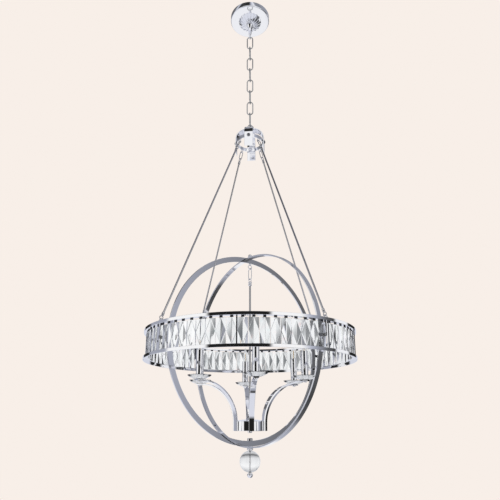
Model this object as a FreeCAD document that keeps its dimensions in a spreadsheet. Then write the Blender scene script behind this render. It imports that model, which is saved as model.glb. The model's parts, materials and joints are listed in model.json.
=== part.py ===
import FreeCAD, Part
import Sketcher
import math
import os

# An orb chandelier: a canopy and chain carry a hub, four rods, a crystal drum and an orb of two
# rings. A six-arm candle cluster hangs free inside the orb. Millimetres, +Z up, origin at the
# centre of the canopy's ceiling face.

Vec = FreeCAD.Vector
UP = Vec(0, 0, 1)

SIZES = (
    ("canopy_radius", 84, "outer radius of the ceiling canopy"),
    ("canopy_depth", 22, "height of the canopy's rim"),
    ("canopy_wall", 1.2, "sheet thickness of the canopy"),
    ("canopy_corner", 3, "bend between the canopy's rim and its face"),
    ("dome_radius", 48, "foot of the fluted dome"),
    ("dome_depth", 18, "height of the fluted dome"),
    ("dome_wall", 3, "wall of the fluted dome"),
    ("flute_count", 20, "ribs round the dome"),
    ("flute_radius", 2, "radius of a rib on the dome"),
    ("neck_top_radius", 14, "trumpet neck where it leaves the dome"),
    ("neck_end_radius", 6.5, "trumpet neck at its lower end"),
    ("neck_waist", 2.4, "hollow of the trumpet neck's outline"),
    ("neck_drop", 108, "ceiling to the lowest wire of the neck's loop"),
    ("strap_length", 110, "ceiling strap, length"),
    ("strap_width", 22, "ceiling strap, width"),
    ("strap_thick", 2.5, "ceiling strap, thickness"),
    ("slot_spacing", 76, "distance between the strap's two slots"),
    ("slot_length", 20, "slot, end to end"),
    ("slot_width", 5, "slot, across"),
    ("nipple_radius", 5, "threaded tube through strap and neck"),
    ("nipple_end", 46, "ceiling to the lower end of the threaded tube"),
    ("nut_radius", 9, "hexagon nuts, centre to corner"),
    ("nut_height", 5, "hexagon nuts, height"),
    ("fit_gap", 0.05, "radial clearance of a pin in its hole"),
    ("hang_gap", 0.3, "clearance between pieces that hang in each other"),
    ("link_count", 8, "links in the chain"),
    ("link_length", 64.3, "chain link, outer length"),
    ("link_width", 28, "chain link, outer width"),
    ("link_wire", 4.5, "wire of chain, neck loop and hub loop"),
    ("chain_turn", 45, "turn of the chain about the vertical, degrees"),
    ("loop_drop", 21, "last link to the top of the hub"),
    ("loop_bolt_radius", 4, "bolt of the hub loop"),
    ("loop_collar_width", 4, "collar of the hub loop, beyond its bolt"),
    ("loop_collar_height", 2, "edge of that collar"),
    ("hub_span", 58, "centre to the outside of a hub leg"),
    ("hub_height", 104, "height of the hub"),
    ("hub_strap_width", 34, "width of a hub leg"),
    ("hub_strap_thick", 3, "thickness of the hub's strap"),
    ("hub_bend", 44, "outer bend at the hub's shoulders"),
    ("knob_drop", 57, "top of the hub to the leg screws"),
    ("knob_radius", 7, "round head of a leg screw"),
    ("knob_height", 5.5, "height of that head"),
    ("knob_shank", 2.5, "shank of a leg screw"),
    ("knob_edge", 1.2, "upright edge of that head"),
    ("hub_ring_height", 14, "ring inside the hub, height"),
    ("hub_ring_wall", 4, "ring inside the hub, wall"),
    ("orb_drop", 905, "top of the hub to the centre of the orb"),
    ("eye_radius", 6, "rod eyes, centre line of the wire"),
    ("eye_wire", 3, "wire of rod eyes and links"),
    ("eye_neck", 2.3, "radius of the neck between an eye and its rod or boss"),
    ("rod_link_length", 34, "oval link above a rod, outer length"),
    ("rod_link_width", 15, "oval link above a rod, outer width"),
    ("rod_radius", 3.2, "suspension rod"),
    ("ferrule_radius", 4.6, "ferrule at a rod's end"),
    ("ferrule_length", 14, "ferrule, length"),
    ("band_radius", 381, "outside of the drum's bands"),
    ("band_height", 10, "band, height"),
    ("band_wall", 2.5, "band, wall"),
    ("ledge_width", 18, "inward ledge of a band, from the outside"),
    ("ledge_thick", 2.5, "ledge, thickness"),
    ("drum_height", 104, "drum over both bands"),
    ("drum_lift", -1, "middle of the drum above the centre of the orb"),
    ("post_count", 8, "posts between the bands"),
    ("post_radius", 2, "post"),
    ("lug_radius", 2.5, "stem of the lug that a rod hooks in"),
    ("lug_lift", 12, "ledge to the centre of the lug's eye"),
    ("crystal_count", 72, "crystal bars round the drum"),
    ("crystal_gap", 5.9, "gap between two crystal bars at their backs, room for a bracket's leg"),
    ("crystal_depth", 8, "crystal bar, depth over its ridges"),
    ("crystal_inset", 8, "outside of the band to the front of the crystals"),
    ("crystal_cut", 1.4, "depth of each step of the diamond cut"),
    ("clip_height", 5, "clip above a crystal, height"),
    ("clip_width", 9, "clip, width"),
    ("clip_depth", 4, "clip, depth"),
    ("orb_clearance", 37.2, "outside of the bands to the outside of the orb's flat ring"),
    ("ring_width", 19, "radial width of the flat ring and width of the hoop"),
    ("ring_thick", 5, "thickness of both rings"),
    ("ring_gap", 0.2, "clearance between ring and hoop where they cross"),
    ("bracket_width", 5, "bracket from a ring to its post, width"),
    ("bracket_height", 10, "bracket, height"),
    ("bracket_leg", 4, "leg of the bracket up to the ledge"),
    ("top_knob_radius", 7.5, "knob on the upper crossing"),
    ("top_knob_height", 13, "height of that knob"),
    ("cluster_eye_radius", 8, "eye under the upper crossing"),
    ("cluster_eye_drop", 14, "flat ring to the centre of that eye"),
    ("cluster_link_length", 48, "link that carries the cluster, outer length"),
    ("cluster_link_width", 20, "link that carries the cluster, outer width"),
    ("stem_radius", 3.75, "stem of the cluster"),
    ("stem_collar_radius", 7, "collar at the top of the stem"),
    ("stem_collar_height", 16, "collar, height"),
    ("cup_radius", 57, "lower hub"),
    ("cup_height", 30, "lower hub, height"),
    ("cup_wall", 3, "lower hub, wall"),
    ("cup_clearance", 33.8, "inside of the orb to the underside of the lower hub"),
    ("cap_height", 14, "cap on the lower hub"),
    ("cap_wall", 2, "cap on the lower hub, wall"),
    ("stem_nut_radius", 8, "nut under the lower hub"),
    ("stem_nut_height", 7, "nut under the lower hub, height"),
    ("arm_count", 6, "arms of the cluster"),
    ("arm_turn", -4, "turn of the first arm about the vertical, degrees"),
    ("arm_width", 18.5, "arm, width of the strap"),
    ("arm_thick", 5, "arm, thickness of the strap"),
    ("arm_flat", 6, "arm, flat run between the bend and the candle's axis"),
    ("arm_run", 25.5, "arm, straight run up the lower hub before the bend"),
    ("arm_tail", 12, "arm, run past the candle"),
    ("screw_radius", 3, "screw through arm and dish into a socket"),
    ("screw_head_radius", 5.5, "head of that screw"),
    ("screw_head_height", 4, "head of that screw, height"),
    ("screw_grip", 6, "length of that screw inside the socket"),
    ("candle_radius", 207, "circle of the candles"),
    ("dish_radius", 40, "glass dish"),
    ("dish_rise", 12, "rise of the dish to its rim"),
    ("dish_wall", 2.5, "glass of the dish"),
    ("sleeve_radius", 12, "candle sleeve"),
    ("sleeve_wall", 1, "candle sleeve, wall"),
    ("sleeve_height", 95, "candle sleeve, height"),
    ("socket_radius", 10.5, "lamp socket in the sleeve"),
    ("socket_bore", 6.5, "bore of the lamp socket"),
    ("socket_depth", 26, "depth of that bore"),
    ("socket_inset", 4, "top of the socket below the sleeve's edge"),
    ("bulb_radius", 8.5, "glass of the bulb at its widest"),
    ("bulb_height", 58, "glass of the bulb, height"),
    ("bulb_wall", 0.8, "glass of the bulb, wall"),
    ("filament_radius", 0.9, "filament and its support"),
    ("filament_height", 36, "filament and its support, height"),
    ("finial_collar_radius", 11, "collar under the orb"),
    ("finial_collar_height", 8, "collar under the orb, height"),
    ("ball_radius", 36, "crystal ball"),
    ("finial_rod_radius", 2.5, "rod through the ball"),
    ("end_knob_radius", 10, "knob under the ball"),
    ("end_knob_height", 18, "knob under the ball, height"),
)

DERIVED = (
    ("crystal_back", "=band_radius - crystal_inset - crystal_depth", "circle of the crystal bars' backs"),
    ("crystal_width", "=2 * crystal_back * tan(180 / crystal_count) - crystal_gap", "crystal bar, width"),
    ("ring_radius", "=band_radius - orb_clearance", "outside of the orb's flat ring"),
    ("cup_drop", "=ring_radius - ring_width - cup_clearance", "orb's centre to the lower hub's underside"),
    ("arm_line", "=cup_radius + fit_gap + arm_thick / 2", "centre line of an arm's upright run"),
    ("arm_bend", "=candle_radius - arm_line - arm_flat", "radius of an arm's bend on its centre line"),
)

OVERSHOOT = 2  # how far a cutting tool runs past the material

doc = FreeCAD.newDocument("orb_chandelier")
sheet = doc.addObject("Spreadsheet::Sheet", "sizes")
sub_parts = []


def fill_sheet():
    for row, (alias, value, note) in enumerate(SIZES + DERIVED, 1):
        sheet.set(f"A{row}", note)
        sheet.set(f"B{row}", str(value))
        sheet.setAlias(f"B{row}", alias)
    doc.recompute()


def size(alias):
    return float(getattr(sheet, alias))


def keep(item, name):
    """Names a sub-part and puts it on the list of nodes."""
    item.Label = name
    sub_parts.append(item)
    return item


def feature(name, shape):
    item = doc.addObject("Part::Feature", name + "_shape")
    item.Shape = shape
    return keep(item, name)


def cylinder(name, radius, height, base, axis=UP):
    """A cylinder whose radius and height are expressions on the sheet."""
    item = doc.addObject("Part::Cylinder", name)
    item.setExpression("Radius", radius)
    item.setExpression("Height", height)
    item.Placement = FreeCAD.Placement(base, FreeCAD.Rotation(UP, axis))
    return item


def cut(name, base, *tools):
    for index, tool in enumerate(tools):
        item = doc.addObject("Part::Cut", f"{name}_cut_{index}")
        item.Base = base
        item.Tool = tool
        base = item
    return base


def turned(start, *steps):
    """A solid of revolution about Z. A step is (r, z) for a line or (r, z, r, z) for an arc."""
    here = Vec(start[0], 0, start[1])
    edges = []
    for step in steps:
        end = Vec(step[-2], 0, step[-1])
        if len(step) == 4:
            edges.append(Part.Arc(here, Vec(step[0], 0, step[1]), end).toShape())
        else:
            edges.append(Part.LineSegment(here, end).toShape())
        here = end
    first = Vec(start[0], 0, start[1])
    if not here.isEqual(first, 1e-6):
        edges.append(Part.LineSegment(here, first).toShape())
    return Part.Face(Part.Wire(edges)).revolve(Vec(0, 0, 0), UP, 360)


def crown(radius, base, top):
    """An arc step from (radius, base) to the axis at the level top, centred on the axis."""
    rise = top - base
    ball = (radius**2 + rise**2) / (2 * abs(rise))
    centre = top - math.copysign(ball, rise)
    start = math.atan2(base - centre, radius)
    middle = (start + math.copysign(math.pi / 2, rise)) / 2
    return ball * math.cos(middle), centre + ball * math.sin(middle), 0, top


def moved(shape, base=Vec(0, 0, 0), turn=0, axis=UP):
    copy = shape.copy()
    copy.Placement = FreeCAD.Placement(base, FreeCAD.Rotation(axis, turn)).multiply(copy.Placement)
    return copy


def around(shape, count, start=0):
    """Copies of a shape, evenly round the vertical axis."""
    return [moved(shape, turn=start + 360 * index / count) for index in range(count)]


def oval(length, width, wire):
    """A link of round wire in the XZ plane, centred on the origin."""
    bend = (width - wire) / 2
    straight = length - width
    pieces = []
    for side in (1, -1):
        circle = Part.makeCircle(wire / 2, Vec(side * bend, 0, side * straight / 2), UP)
        section = Part.Face(Part.Wire(circle))
        pieces.append(section.revolve(Vec(0, 0, side * straight / 2), Vec(0, -1, 0), 180))
        if straight > 0:
            pieces.append(section.extrude(Vec(0, 0, -side * straight)))
    return pieces[0].fuse(pieces[1:]).removeSplitter()


def eye(radius, wire):
    """A closed eye of round wire in the XZ plane, centred on the origin."""
    return Part.makeTorus(radius, wire / 2, Vec(0, 0, 0), Vec(0, 1, 0))


def hexagon_nut(bore, base):
    corner = Vec(size("nut_radius"), 0, 0)
    corners = [FreeCAD.Rotation(UP, 60 * k).multVec(corner) for k in range(7)]
    body = Part.Face(Part.makePolygon(corners)).extrude(Vec(0, 0, size("nut_height")))
    return moved(body.cut(Part.makeCylinder(bore, size("nut_height"))), Vec(0, 0, base))


def plane_of(body, role):
    return [item for item in body.Origin.OriginFeatures if item.Role == role][0]


# ---- levels that follow from the sizes ----

def chain_pitch():
    return size("link_length") - 2 * size("link_wire") - size("hang_gap")


def chain_end():
    return -size("neck_drop") - size("link_count") * chain_pitch()


def hub_top():
    return chain_end() - size("loop_drop")


def orb_centre():
    return hub_top() - size("orb_drop")


def drum_top():
    return orb_centre() + size("drum_lift") + size("drum_height") / 2


def drum_bottom():
    return drum_top() - size("drum_height")


def hoop_inside():
    return size("ring_radius") + size("ring_gap")


def hoop_outside():
    return hoop_inside() + size("ring_thick")


def cup_floor():
    return orb_centre() - size("cup_drop")


def arm_tip():
    """Top face of an arm under its candle."""
    return cup_floor() + size("arm_run") + size("arm_bend") + size("arm_thick") / 2


# ---- ceiling ----

def ceiling_strap():
    body = doc.addObject("PartDesign::Body", "strap_body")
    outline = body.newObject("Sketcher::SketchObject", "strap_outline")
    outline.AttachmentSupport = [(plane_of(body, "XY_Plane"), "")]
    outline.MapMode = "FlatFace"
    half_x = size("strap_length") / 2
    half_y = size("strap_width") / 2
    corners = [Vec(x * half_x, y * half_y, 0) for x, y in ((-1, -1), (1, -1), (1, 1), (-1, 1))]
    for index in range(4):
        outline.addGeometry(Part.LineSegment(corners[index], corners[(index + 1) % 4]))
    for index in range(4):
        outline.addConstraint(Sketcher.Constraint("Coincident", index, 2, (index + 1) % 4, 1))
    for index in (0, 2):
        outline.addConstraint(Sketcher.Constraint("Horizontal", index))
    for index in (1, 3):
        outline.addConstraint(Sketcher.Constraint("Vertical", index))
    outline.addConstraint(Sketcher.Constraint("Symmetric", 0, 1, 2, 1, -1, 1))
    length = outline.addConstraint(Sketcher.Constraint("DistanceX", 0, 1, 0, 2, 2 * half_x))
    width = outline.addConstraint(Sketcher.Constraint("DistanceY", 1, 1, 1, 2, 2 * half_y))
    outline.setExpression(f"Constraints[{length}]", "sizes.strap_length")
    outline.setExpression(f"Constraints[{width}]", "sizes.strap_width")
    pad = body.newObject("PartDesign::Pad", "strap_pad")
    pad.Profile = outline
    pad.setExpression("Length", "sizes.strap_thick")
    pad.Reversed = True
    doc.recompute()
    before = pad.Shape.Volume
    holes = body.newObject("Sketcher::SketchObject", "strap_holes")
    holes.AttachmentSupport = [(plane_of(body, "XY_Plane"), "")]
    holes.MapMode = "FlatFace"
    centre = holes.addGeometry(Part.Circle(Vec(0, 0, 0), UP, size("nipple_radius")))
    holes.addConstraint(Sketcher.Constraint("Coincident", centre, 3, -1, 1))
    bore = holes.addConstraint(Sketcher.Constraint("Radius", centre, size("nipple_radius")))
    holes.setExpression(f"Constraints[{bore}]", "sizes.nipple_radius + sizes.fit_gap")
    radius = size("slot_width") / 2
    run = size("slot_length") / 2 - radius
    for side in (-1, 1):
        middle = side * size("slot_spacing") / 2
        left = Vec(middle - run, 0, 0)
        right = Vec(middle + run, 0, 0)
        rise = Vec(0, radius, 0)
        reach = Vec(radius, 0, 0)
        holes.addGeometry(Part.LineSegment(left + rise, right + rise))
        holes.addGeometry(Part.Arc(right + rise, right + reach, right - rise))
        holes.addGeometry(Part.LineSegment(right - rise, left - rise))
        holes.addGeometry(Part.Arc(left - rise, left - reach, left + rise))
    pocket = body.newObject("PartDesign::Pocket", "strap_pocket")
    pocket.Profile = holes
    pocket.setExpression("Length", "sizes.strap_thick * 2")
    doc.recompute()
    if pocket.Shape.Volume >= before:
        raise RuntimeError("the strap's holes cut nothing")
    keep(body, "ceiling_strap")


def dome_rib(start, middle, end):
    """A round rib that follows the dome's arc."""
    line = Part.Arc(start, middle, end).toShape()
    circle = Part.makeCircle(size("flute_radius"), start, line.tangentAt(line.FirstParameter))
    sweep = math.degrees(line.LastParameter - line.FirstParameter)
    return Part.Face(Part.Wire(circle)).revolve(line.Curve.Center, line.Curve.Axis, sweep)


def canopy():
    radius = size("canopy_radius")
    wall = size("canopy_wall")
    depth = size("canopy_depth")
    corner = size("canopy_corner")
    bore = size("nipple_radius") + size("fit_gap")
    slant = corner * (1 - math.sqrt(0.5))
    inner = corner - wall
    inner_slant = wall + inner * (1 - math.sqrt(0.5))
    pan = turned(
        (bore, -depth),
        (radius - corner, -depth),
        (radius - slant, -depth + slant, radius, -depth + corner),
        (radius, 0),
        (radius - wall, 0),
        (radius - wall, -depth + corner),
        (radius - inner_slant, -depth + inner_slant, radius - corner, -depth + wall),
        (bore, -depth + wall),
    )
    feature("canopy_pan", pan)

    foot = size("dome_radius")
    dome_end = depth + size("dome_depth")
    neck = size("neck_top_radius")
    shell = size("dome_wall")
    bend = foot * 0.72 + neck * 0.28
    bend_level = depth + size("dome_depth") * 0.62
    dome = turned(
        (foot - shell, -depth),
        (foot, -depth),
        (foot, -depth - wall),
        (bend, -bend_level, neck, -dome_end),
        (bore, -dome_end),
        (bore, -dome_end + shell),
        (neck - shell, -dome_end + shell),
        (bend - shell, -bend_level + shell, foot - shell, -depth),
    )
    rib = dome_rib(Vec(foot, 0, -depth - wall), Vec(bend, 0, -bend_level), Vec(neck, 0, -dome_end))
    slab = Part.makeCylinder(radius, dome_end - depth - wall, Vec(0, 0, -dome_end))
    trimmed = rib.common(slab)
    dome = dome.fuse(around(trimmed, int(size("flute_count")))).removeSplitter()
    feature("canopy_dome", dome)

    end = size("neck_end_radius")
    loop_radius = (size("link_width") - size("link_wire")) / 2 - size("link_wire") / 2
    loop_centre = -size("neck_drop") + loop_radius
    neck_end = loop_centre + loop_radius
    horn = turned(
        (0, -size("nipple_end")),
        (bore, -size("nipple_end")),
        (bore, -dome_end),
        (neck, -dome_end),
        (neck - 1, -dome_end - 3),
        ((neck + end) / 2 - size("neck_waist"), (-dome_end + neck_end) / 2, end, neck_end),
        (0, neck_end),
    )
    loop = moved(eye(loop_radius, size("link_wire")), Vec(0, 0, loop_centre), size("chain_turn"))
    feature("canopy_neck", horn.fuse(loop).removeSplitter())

    nipple = Part.makeCylinder(size("nipple_radius"), size("nipple_end"), Vec(0, 0, -size("nipple_end")))
    feature("threaded_nipple", nipple)
    lower = hexagon_nut(bore, -depth + wall)
    upper = hexagon_nut(bore, -size("strap_thick") - size("nut_height"))
    feature("nipple_nuts", Part.Compound([upper, lower]))


def chain():
    link = oval(size("link_length"), size("link_width"), size("link_wire"))
    reach = (size("link_length") - size("link_wire")) / 2
    for index in range(int(size("link_count"))):
        top_wire = -size("neck_drop") - index * chain_pitch() + size("link_wire") + size("hang_gap")
        turn = size("chain_turn") + 90 * ((index + 1) % 2)
        feature(f"chain_link_{index + 1}", moved(link, Vec(0, 0, top_wire - reach), turn))


# ---- upper hub and rods ----

def strap_arch():
    """One strap of the hub: an inverted U in the XZ plane with round shoulders."""
    span = size("hub_span")
    thick = size("hub_strap_thick")
    bend = size("hub_bend")
    foot = hub_top() - size("hub_height")
    loops = []
    for inset in (0, thick):
        half = span - inset
        top = hub_top() - inset
        radius = bend - inset
        flat = half - radius
        slant = radius * (1 - math.sqrt(0.5))
        edges = [
            Part.LineSegment(Vec(-half, 0, foot), Vec(-half, 0, top - radius)),
            Part.Arc(Vec(-half, 0, top - radius), Vec(slant - half, 0, top - slant), Vec(-flat, 0, top)),
            Part.LineSegment(Vec(-flat, 0, top), Vec(flat, 0, top)),
            Part.Arc(Vec(flat, 0, top), Vec(half - slant, 0, top - slant), Vec(half, 0, top - radius)),
            Part.LineSegment(Vec(half, 0, top - radius), Vec(half, 0, foot)),
            Part.LineSegment(Vec(half, 0, foot), Vec(-half, 0, foot)),
        ]
        face = Part.Face(Part.Wire([edge.toShape() for edge in edges]))
        solid = face.extrude(Vec(0, size("hub_strap_width"), 0))
        loops.append(moved(solid, Vec(0, -size("hub_strap_width") / 2, 0)))
    return loops[0].cut(loops[1])


def radial_pin(radius, start, end, level, angle):
    """A cylinder that lies along a radius."""
    pin = Part.makeCylinder(radius, end - start, Vec(start, 0, level), Vec(1, 0, 0))
    return moved(pin, turn=angle)


def hub_eye_place():
    """Centre of a rod eye under the hub's ring: distance from the axis, and level."""
    ring_mid = size("hub_span") - size("hub_strap_thick") - size("hub_ring_wall") / 2
    level = hub_top() - size("knob_drop") - size("hub_ring_height") / 2 - size("eye_radius")
    return ring_mid, level


def lug_eye_place():
    """Centre of a lug's eye on the upper band: distance from the axis, and level."""
    ledge_top = drum_top() - size("band_height") + size("ledge_thick")
    return size("band_radius") - size("crystal_inset") - size("lug_radius"), ledge_top + size("lug_lift")


def rod_line():
    """From the hub's eye to the lug's eye, in the XZ plane."""
    top = hub_eye_place()
    low = lug_eye_place()
    return Vec(low[0] - top[0], 0, low[1] - top[1])


def upper_hub():
    arch = strap_arch()
    cross = arch.fuse(moved(arch, turn=90)).removeSplitter()
    cross = moved(cross, turn=45)
    level = hub_top() - size("knob_drop")
    hole = size("knob_shank") + size("fit_gap")
    inside = size("hub_span") - size("hub_strap_thick")
    outside = size("hub_span") + OVERSHOOT
    loop_bolt = size("loop_bolt_radius")
    cutters = [radial_pin(hole, inside - OVERSHOOT, outside, level, 45 + 90 * k) for k in range(4)]
    reach = size("hub_strap_thick") + 2 * OVERSHOOT
    base = Vec(0, 0, hub_top() + OVERSHOOT - reach)
    cutters.append(Part.makeCylinder(loop_bolt + size("fit_gap"), reach, base))
    feature("upper_hub", cross.cut(cutters))

    ring_height = size("hub_ring_height")
    base = Vec(0, 0, level - ring_height / 2)
    ring_out = inside - size("fit_gap")
    ring = Part.makeCylinder(ring_out, ring_height, base)
    ring = ring.cut(Part.makeCylinder(inside - size("hub_ring_wall"), ring_height, base))
    bore_start = inside - size("hub_ring_wall") - OVERSHOOT
    ring = ring.cut([radial_pin(hole, bore_start, outside, level, 45 + 90 * k) for k in range(4)])
    reach, eye_level = hub_eye_place()
    one_eye = moved(eye(size("eye_radius"), size("eye_wire")), Vec(reach, 0, eye_level))
    feature("hub_ring", ring.fuse(around(one_eye, 4)).removeSplitter())

    head = size("knob_radius")
    edge = size("knob_edge")
    screw_end = -size("hub_strap_thick") - size("hub_ring_wall")
    screw = turned(
        (0, screw_end),
        (size("knob_shank"), screw_end),
        (size("knob_shank"), 0),
        (head, 0),
        (head, edge),
        crown(head, edge, size("knob_height")),
    )
    screw = moved(moved(screw, turn=90, axis=Vec(0, 1, 0)), Vec(size("hub_span"), 0, level))
    feature("hub_screws", Part.Compound(around(screw, 4, 45)))

    wire = size("link_wire")
    loop_radius = (size("link_width") - wire) / 2 - wire / 2
    loop_centre = chain_end() + wire + size("hang_gap") - loop_radius
    turn = size("chain_turn") + 90 * ((int(size("link_count")) + 1) % 2)
    loop = moved(eye(loop_radius, wire), Vec(0, 0, loop_centre), turn)
    collar_top = loop_centre - loop_radius + wire / 4
    bolt_end = hub_top() - size("hub_strap_thick") - size("nut_height")
    collar = turned(
        (0, bolt_end),
        (loop_bolt, bolt_end),
        (loop_bolt, hub_top()),
        (loop_bolt + size("loop_collar_width"), hub_top()),
        (loop_bolt + size("loop_collar_width"), hub_top() + size("loop_collar_height")),
        (loop_bolt, collar_top),
        (0, collar_top),
    )
    feature("hub_loop", loop.fuse(collar).removeSplitter())
    feature("hub_loop_nut", hexagon_nut(loop_bolt + size("fit_gap"), bolt_end))


def rods():
    wire = size("eye_wire")
    radius = size("eye_radius")
    gap = size("hang_gap")
    distance = rod_line().Length
    direction = rod_line().normalize()
    reach, level = hub_eye_place()
    start = Vec(reach, 0, level)
    tilt = FreeCAD.Rotation(Vec(0, 0, -1), direction)
    link_reach = size("rod_link_length") - wire

    link = moved(oval(size("rod_link_length"), size("rod_link_width"), wire), turn=90)
    link_middle = radius - wire - gap + link_reach / 2
    link.Placement = FreeCAD.Placement(start + direction * link_middle, tilt).multiply(link.Placement)
    feature("rod_links", Part.Compound(around(link, 4)))

    top_eye = radius - wire - gap + link_reach - wire - gap + radius
    low_eye = distance - 2 * radius + wire + gap
    length = low_eye - top_eye
    rod = Part.makeCylinder(size("rod_radius"), length - 2 * radius, Vec(0, 0, radius - length))
    top_ferrule = turned(
        (0, -radius - size("ferrule_length")),
        (size("ferrule_radius"), -radius - size("ferrule_length")),
        (size("ferrule_radius"), -radius - 2),
        (size("eye_neck"), -radius + 0.4),
        (0, -radius + 0.4),
    )
    low_ferrule = moved(moved(top_ferrule, turn=180, axis=Vec(1, 0, 0)), Vec(0, 0, -length))
    low_ring = moved(eye(radius, wire), Vec(0, 0, -length))
    rod = rod.fuse([eye(radius, wire), top_ferrule, low_ferrule, low_ring]).removeSplitter()
    rod.Placement = FreeCAD.Placement(start + direction * top_eye, tilt)
    for index, copy in enumerate(around(rod, 4)):
        feature(f"suspension_rod_{index + 1}", copy)


# ---- drum ----

def bands():
    for name, base, ledge_low in (
        ("upper_band", drum_top() - size("band_height"), True),
        ("lower_band", drum_bottom(), False),
    ):
        outer = cylinder(f"{name}_outer", "sizes.band_radius", "sizes.band_height", Vec(0, 0, base))
        bore = cylinder(
            f"{name}_bore", "sizes.band_radius - sizes.ledge_width", "sizes.band_height", Vec(0, 0, base)
        )
        recess_base = base + size("ledge_thick") if ledge_low else base
        recess = cylinder(
            f"{name}_recess",
            "sizes.band_radius - sizes.band_wall",
            "sizes.band_height - sizes.ledge_thick",
            Vec(0, 0, recess_base),
        )
        keep(cut(name, outer, bore, recess), name)


def posts():
    reach = size("band_radius") - size("band_wall") - size("post_radius")
    height = size("drum_height") - 2 * size("band_height")
    post = Part.makeCylinder(size("post_radius"), height, Vec(reach, 0, drum_bottom() + size("band_height")))
    feature("drum_posts", Part.Compound(around(post, int(size("post_count")))))


def lugs():
    wire = size("eye_wire")
    direction = rod_line().normalize()
    reach, level = lug_eye_place()
    tilt = FreeCAD.Rotation(Vec(0, 0, -1), direction)
    ring = moved(eye(size("eye_radius"), wire), turn=90)
    ring.Placement = FreeCAD.Placement(Vec(reach, 0, level), tilt).multiply(ring.Placement)
    foot = Vec(reach, 0, level) + direction * size("eye_radius")
    ledge_top = drum_top() - size("band_height") + size("ledge_thick")
    stem = Part.makeCylinder(size("lug_radius"), foot.z - ledge_top, Vec(foot.x, 0, ledge_top))
    feature("drum_lugs", Part.Compound(around(ring.fuse(stem).removeSplitter(), 4)))


def crystal_height():
    return size("drum_height") - 2 * size("band_height") - size("clip_height") - size("hang_gap")


def crystal():
    """A bar with a ridged diamond on its front and back, its top at the origin."""
    half = size("crystal_width") / 2
    low = -crystal_height()
    mid = low / 2
    step = size("crystal_cut")
    ridge = size("crystal_depth") / 2
    faces = []
    edge_points = {}
    for side in (1, -1):
        points = {
            "top": Vec(side * ridge, 0, 0),
            "bottom": Vec(side * ridge, 0, low),
            "left": Vec(side * (ridge - step), -half, mid),
            "right": Vec(side * (ridge - step), half, mid),
            "top_left": Vec(side * (ridge - 2 * step), -half, 0),
            "top_right": Vec(side * (ridge - 2 * step), half, 0),
            "low_left": Vec(side * (ridge - 2 * step), -half, low),
            "low_right": Vec(side * (ridge - 2 * step), half, low),
        }
        edge_points[side] = points
        for names in (
            ("top", "bottom", "left"),
            ("top", "bottom", "right"),
            ("top", "left", "top_left"),
            ("top", "right", "top_right"),
            ("bottom", "left", "low_left"),
            ("bottom", "right", "low_right"),
        ):
            corners = [points[name] for name in names]
            faces.append(Part.Face(Part.makePolygon(corners + corners[:1])))
    for names in (
        ("top_left", "top", "top_right"),
        ("low_left", "bottom", "low_right"),
        ("top_left", "left", "low_left"),
        ("top_right", "right", "low_right"),
    ):
        front = [edge_points[1][name] for name in names]
        back = [edge_points[-1][name] for name in reversed(names)]
        faces.append(Part.Face(Part.makePolygon(front + back + front[:1])))
    bar = Part.makeSolid(Part.makeShell(faces))
    if bar.Volume < 0:
        bar.reverse()
    return bar


def crystals():
    count = int(size("crystal_count"))
    reach = size("band_radius") - size("crystal_inset") - size("crystal_depth") / 2
    ledge = drum_top() - size("band_height")
    bar = moved(crystal(), Vec(reach, 0, ledge - size("clip_height")))
    feature("crystal_bars", Part.Compound(around(bar, count, 180 / count)))
    clip = Part.makeBox(
        size("clip_depth"),
        size("clip_width"),
        size("clip_height"),
        Vec(reach - size("clip_depth") / 2, -size("clip_width") / 2, ledge - size("clip_height")),
    )
    feature("crystal_clips", Part.Compound(around(clip, count, 180 / count)))


def brackets():
    """Four brackets that join the rings to the posts and to the upper band's ledge."""
    width = size("bracket_width")
    height = size("bracket_height")
    post_face = size("band_radius") - size("band_wall") - 2 * size("post_radius")
    ledge = drum_top() - size("band_height")
    leg_start = size("crystal_back")
    made = []
    for index in range(4):
        start = (size("ring_radius") if index % 2 == 0 else hoop_outside()) + size("fit_gap")
        base = Vec(start, -width / 2, orb_centre() - height / 2)
        arm = Part.makeBox(post_face - start, width, height, base)
        rise = ledge - orb_centre()
        leg = Part.makeBox(size("bracket_leg"), width, rise, Vec(leg_start, -width / 2, orb_centre()))
        made.append(moved(arm.fuse(leg).removeSplitter(), turn=90 * index))
    feature("ring_brackets", Part.Compound(made))


# ---- orb ----

def orb():
    centre = orb_centre()
    half = size("ring_thick") / 2
    side = Vec(0, 1, 0)
    outer = cylinder("flat_ring_outer", "sizes.ring_radius", "sizes.ring_thick", Vec(0, -half, centre), side)
    inner = cylinder(
        "flat_ring_inner",
        "sizes.ring_radius - sizes.ring_width",
        "sizes.ring_thick",
        Vec(0, -half, centre),
        side,
    )
    keep(cut("flat_ring", outer, inner), "orb_flat_ring")

    half = size("ring_width") / 2
    side = Vec(1, 0, 0)
    outer = cylinder(
        "hoop_outer",
        "sizes.ring_radius + sizes.ring_gap + sizes.ring_thick",
        "sizes.ring_width",
        Vec(-half, 0, centre),
        side,
    )
    inner = cylinder(
        "hoop_inner", "sizes.ring_radius + sizes.ring_gap", "sizes.ring_width", Vec(-half, 0, centre), side
    )
    top_hole = cylinder(
        "hoop_top_hole",
        "sizes.finial_rod_radius + sizes.fit_gap",
        "sizes.ring_thick * 3",
        Vec(0, 0, centre + hoop_inside() - size("ring_thick")),
    )
    low_hole = cylinder(
        "hoop_low_hole",
        "sizes.finial_rod_radius + sizes.fit_gap",
        "sizes.ring_thick * 3",
        Vec(0, 0, centre - hoop_outside() - size("ring_thick")),
    )
    keep(cut("hoop", outer, inner, top_hole, low_hole), "orb_hoop")


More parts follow.
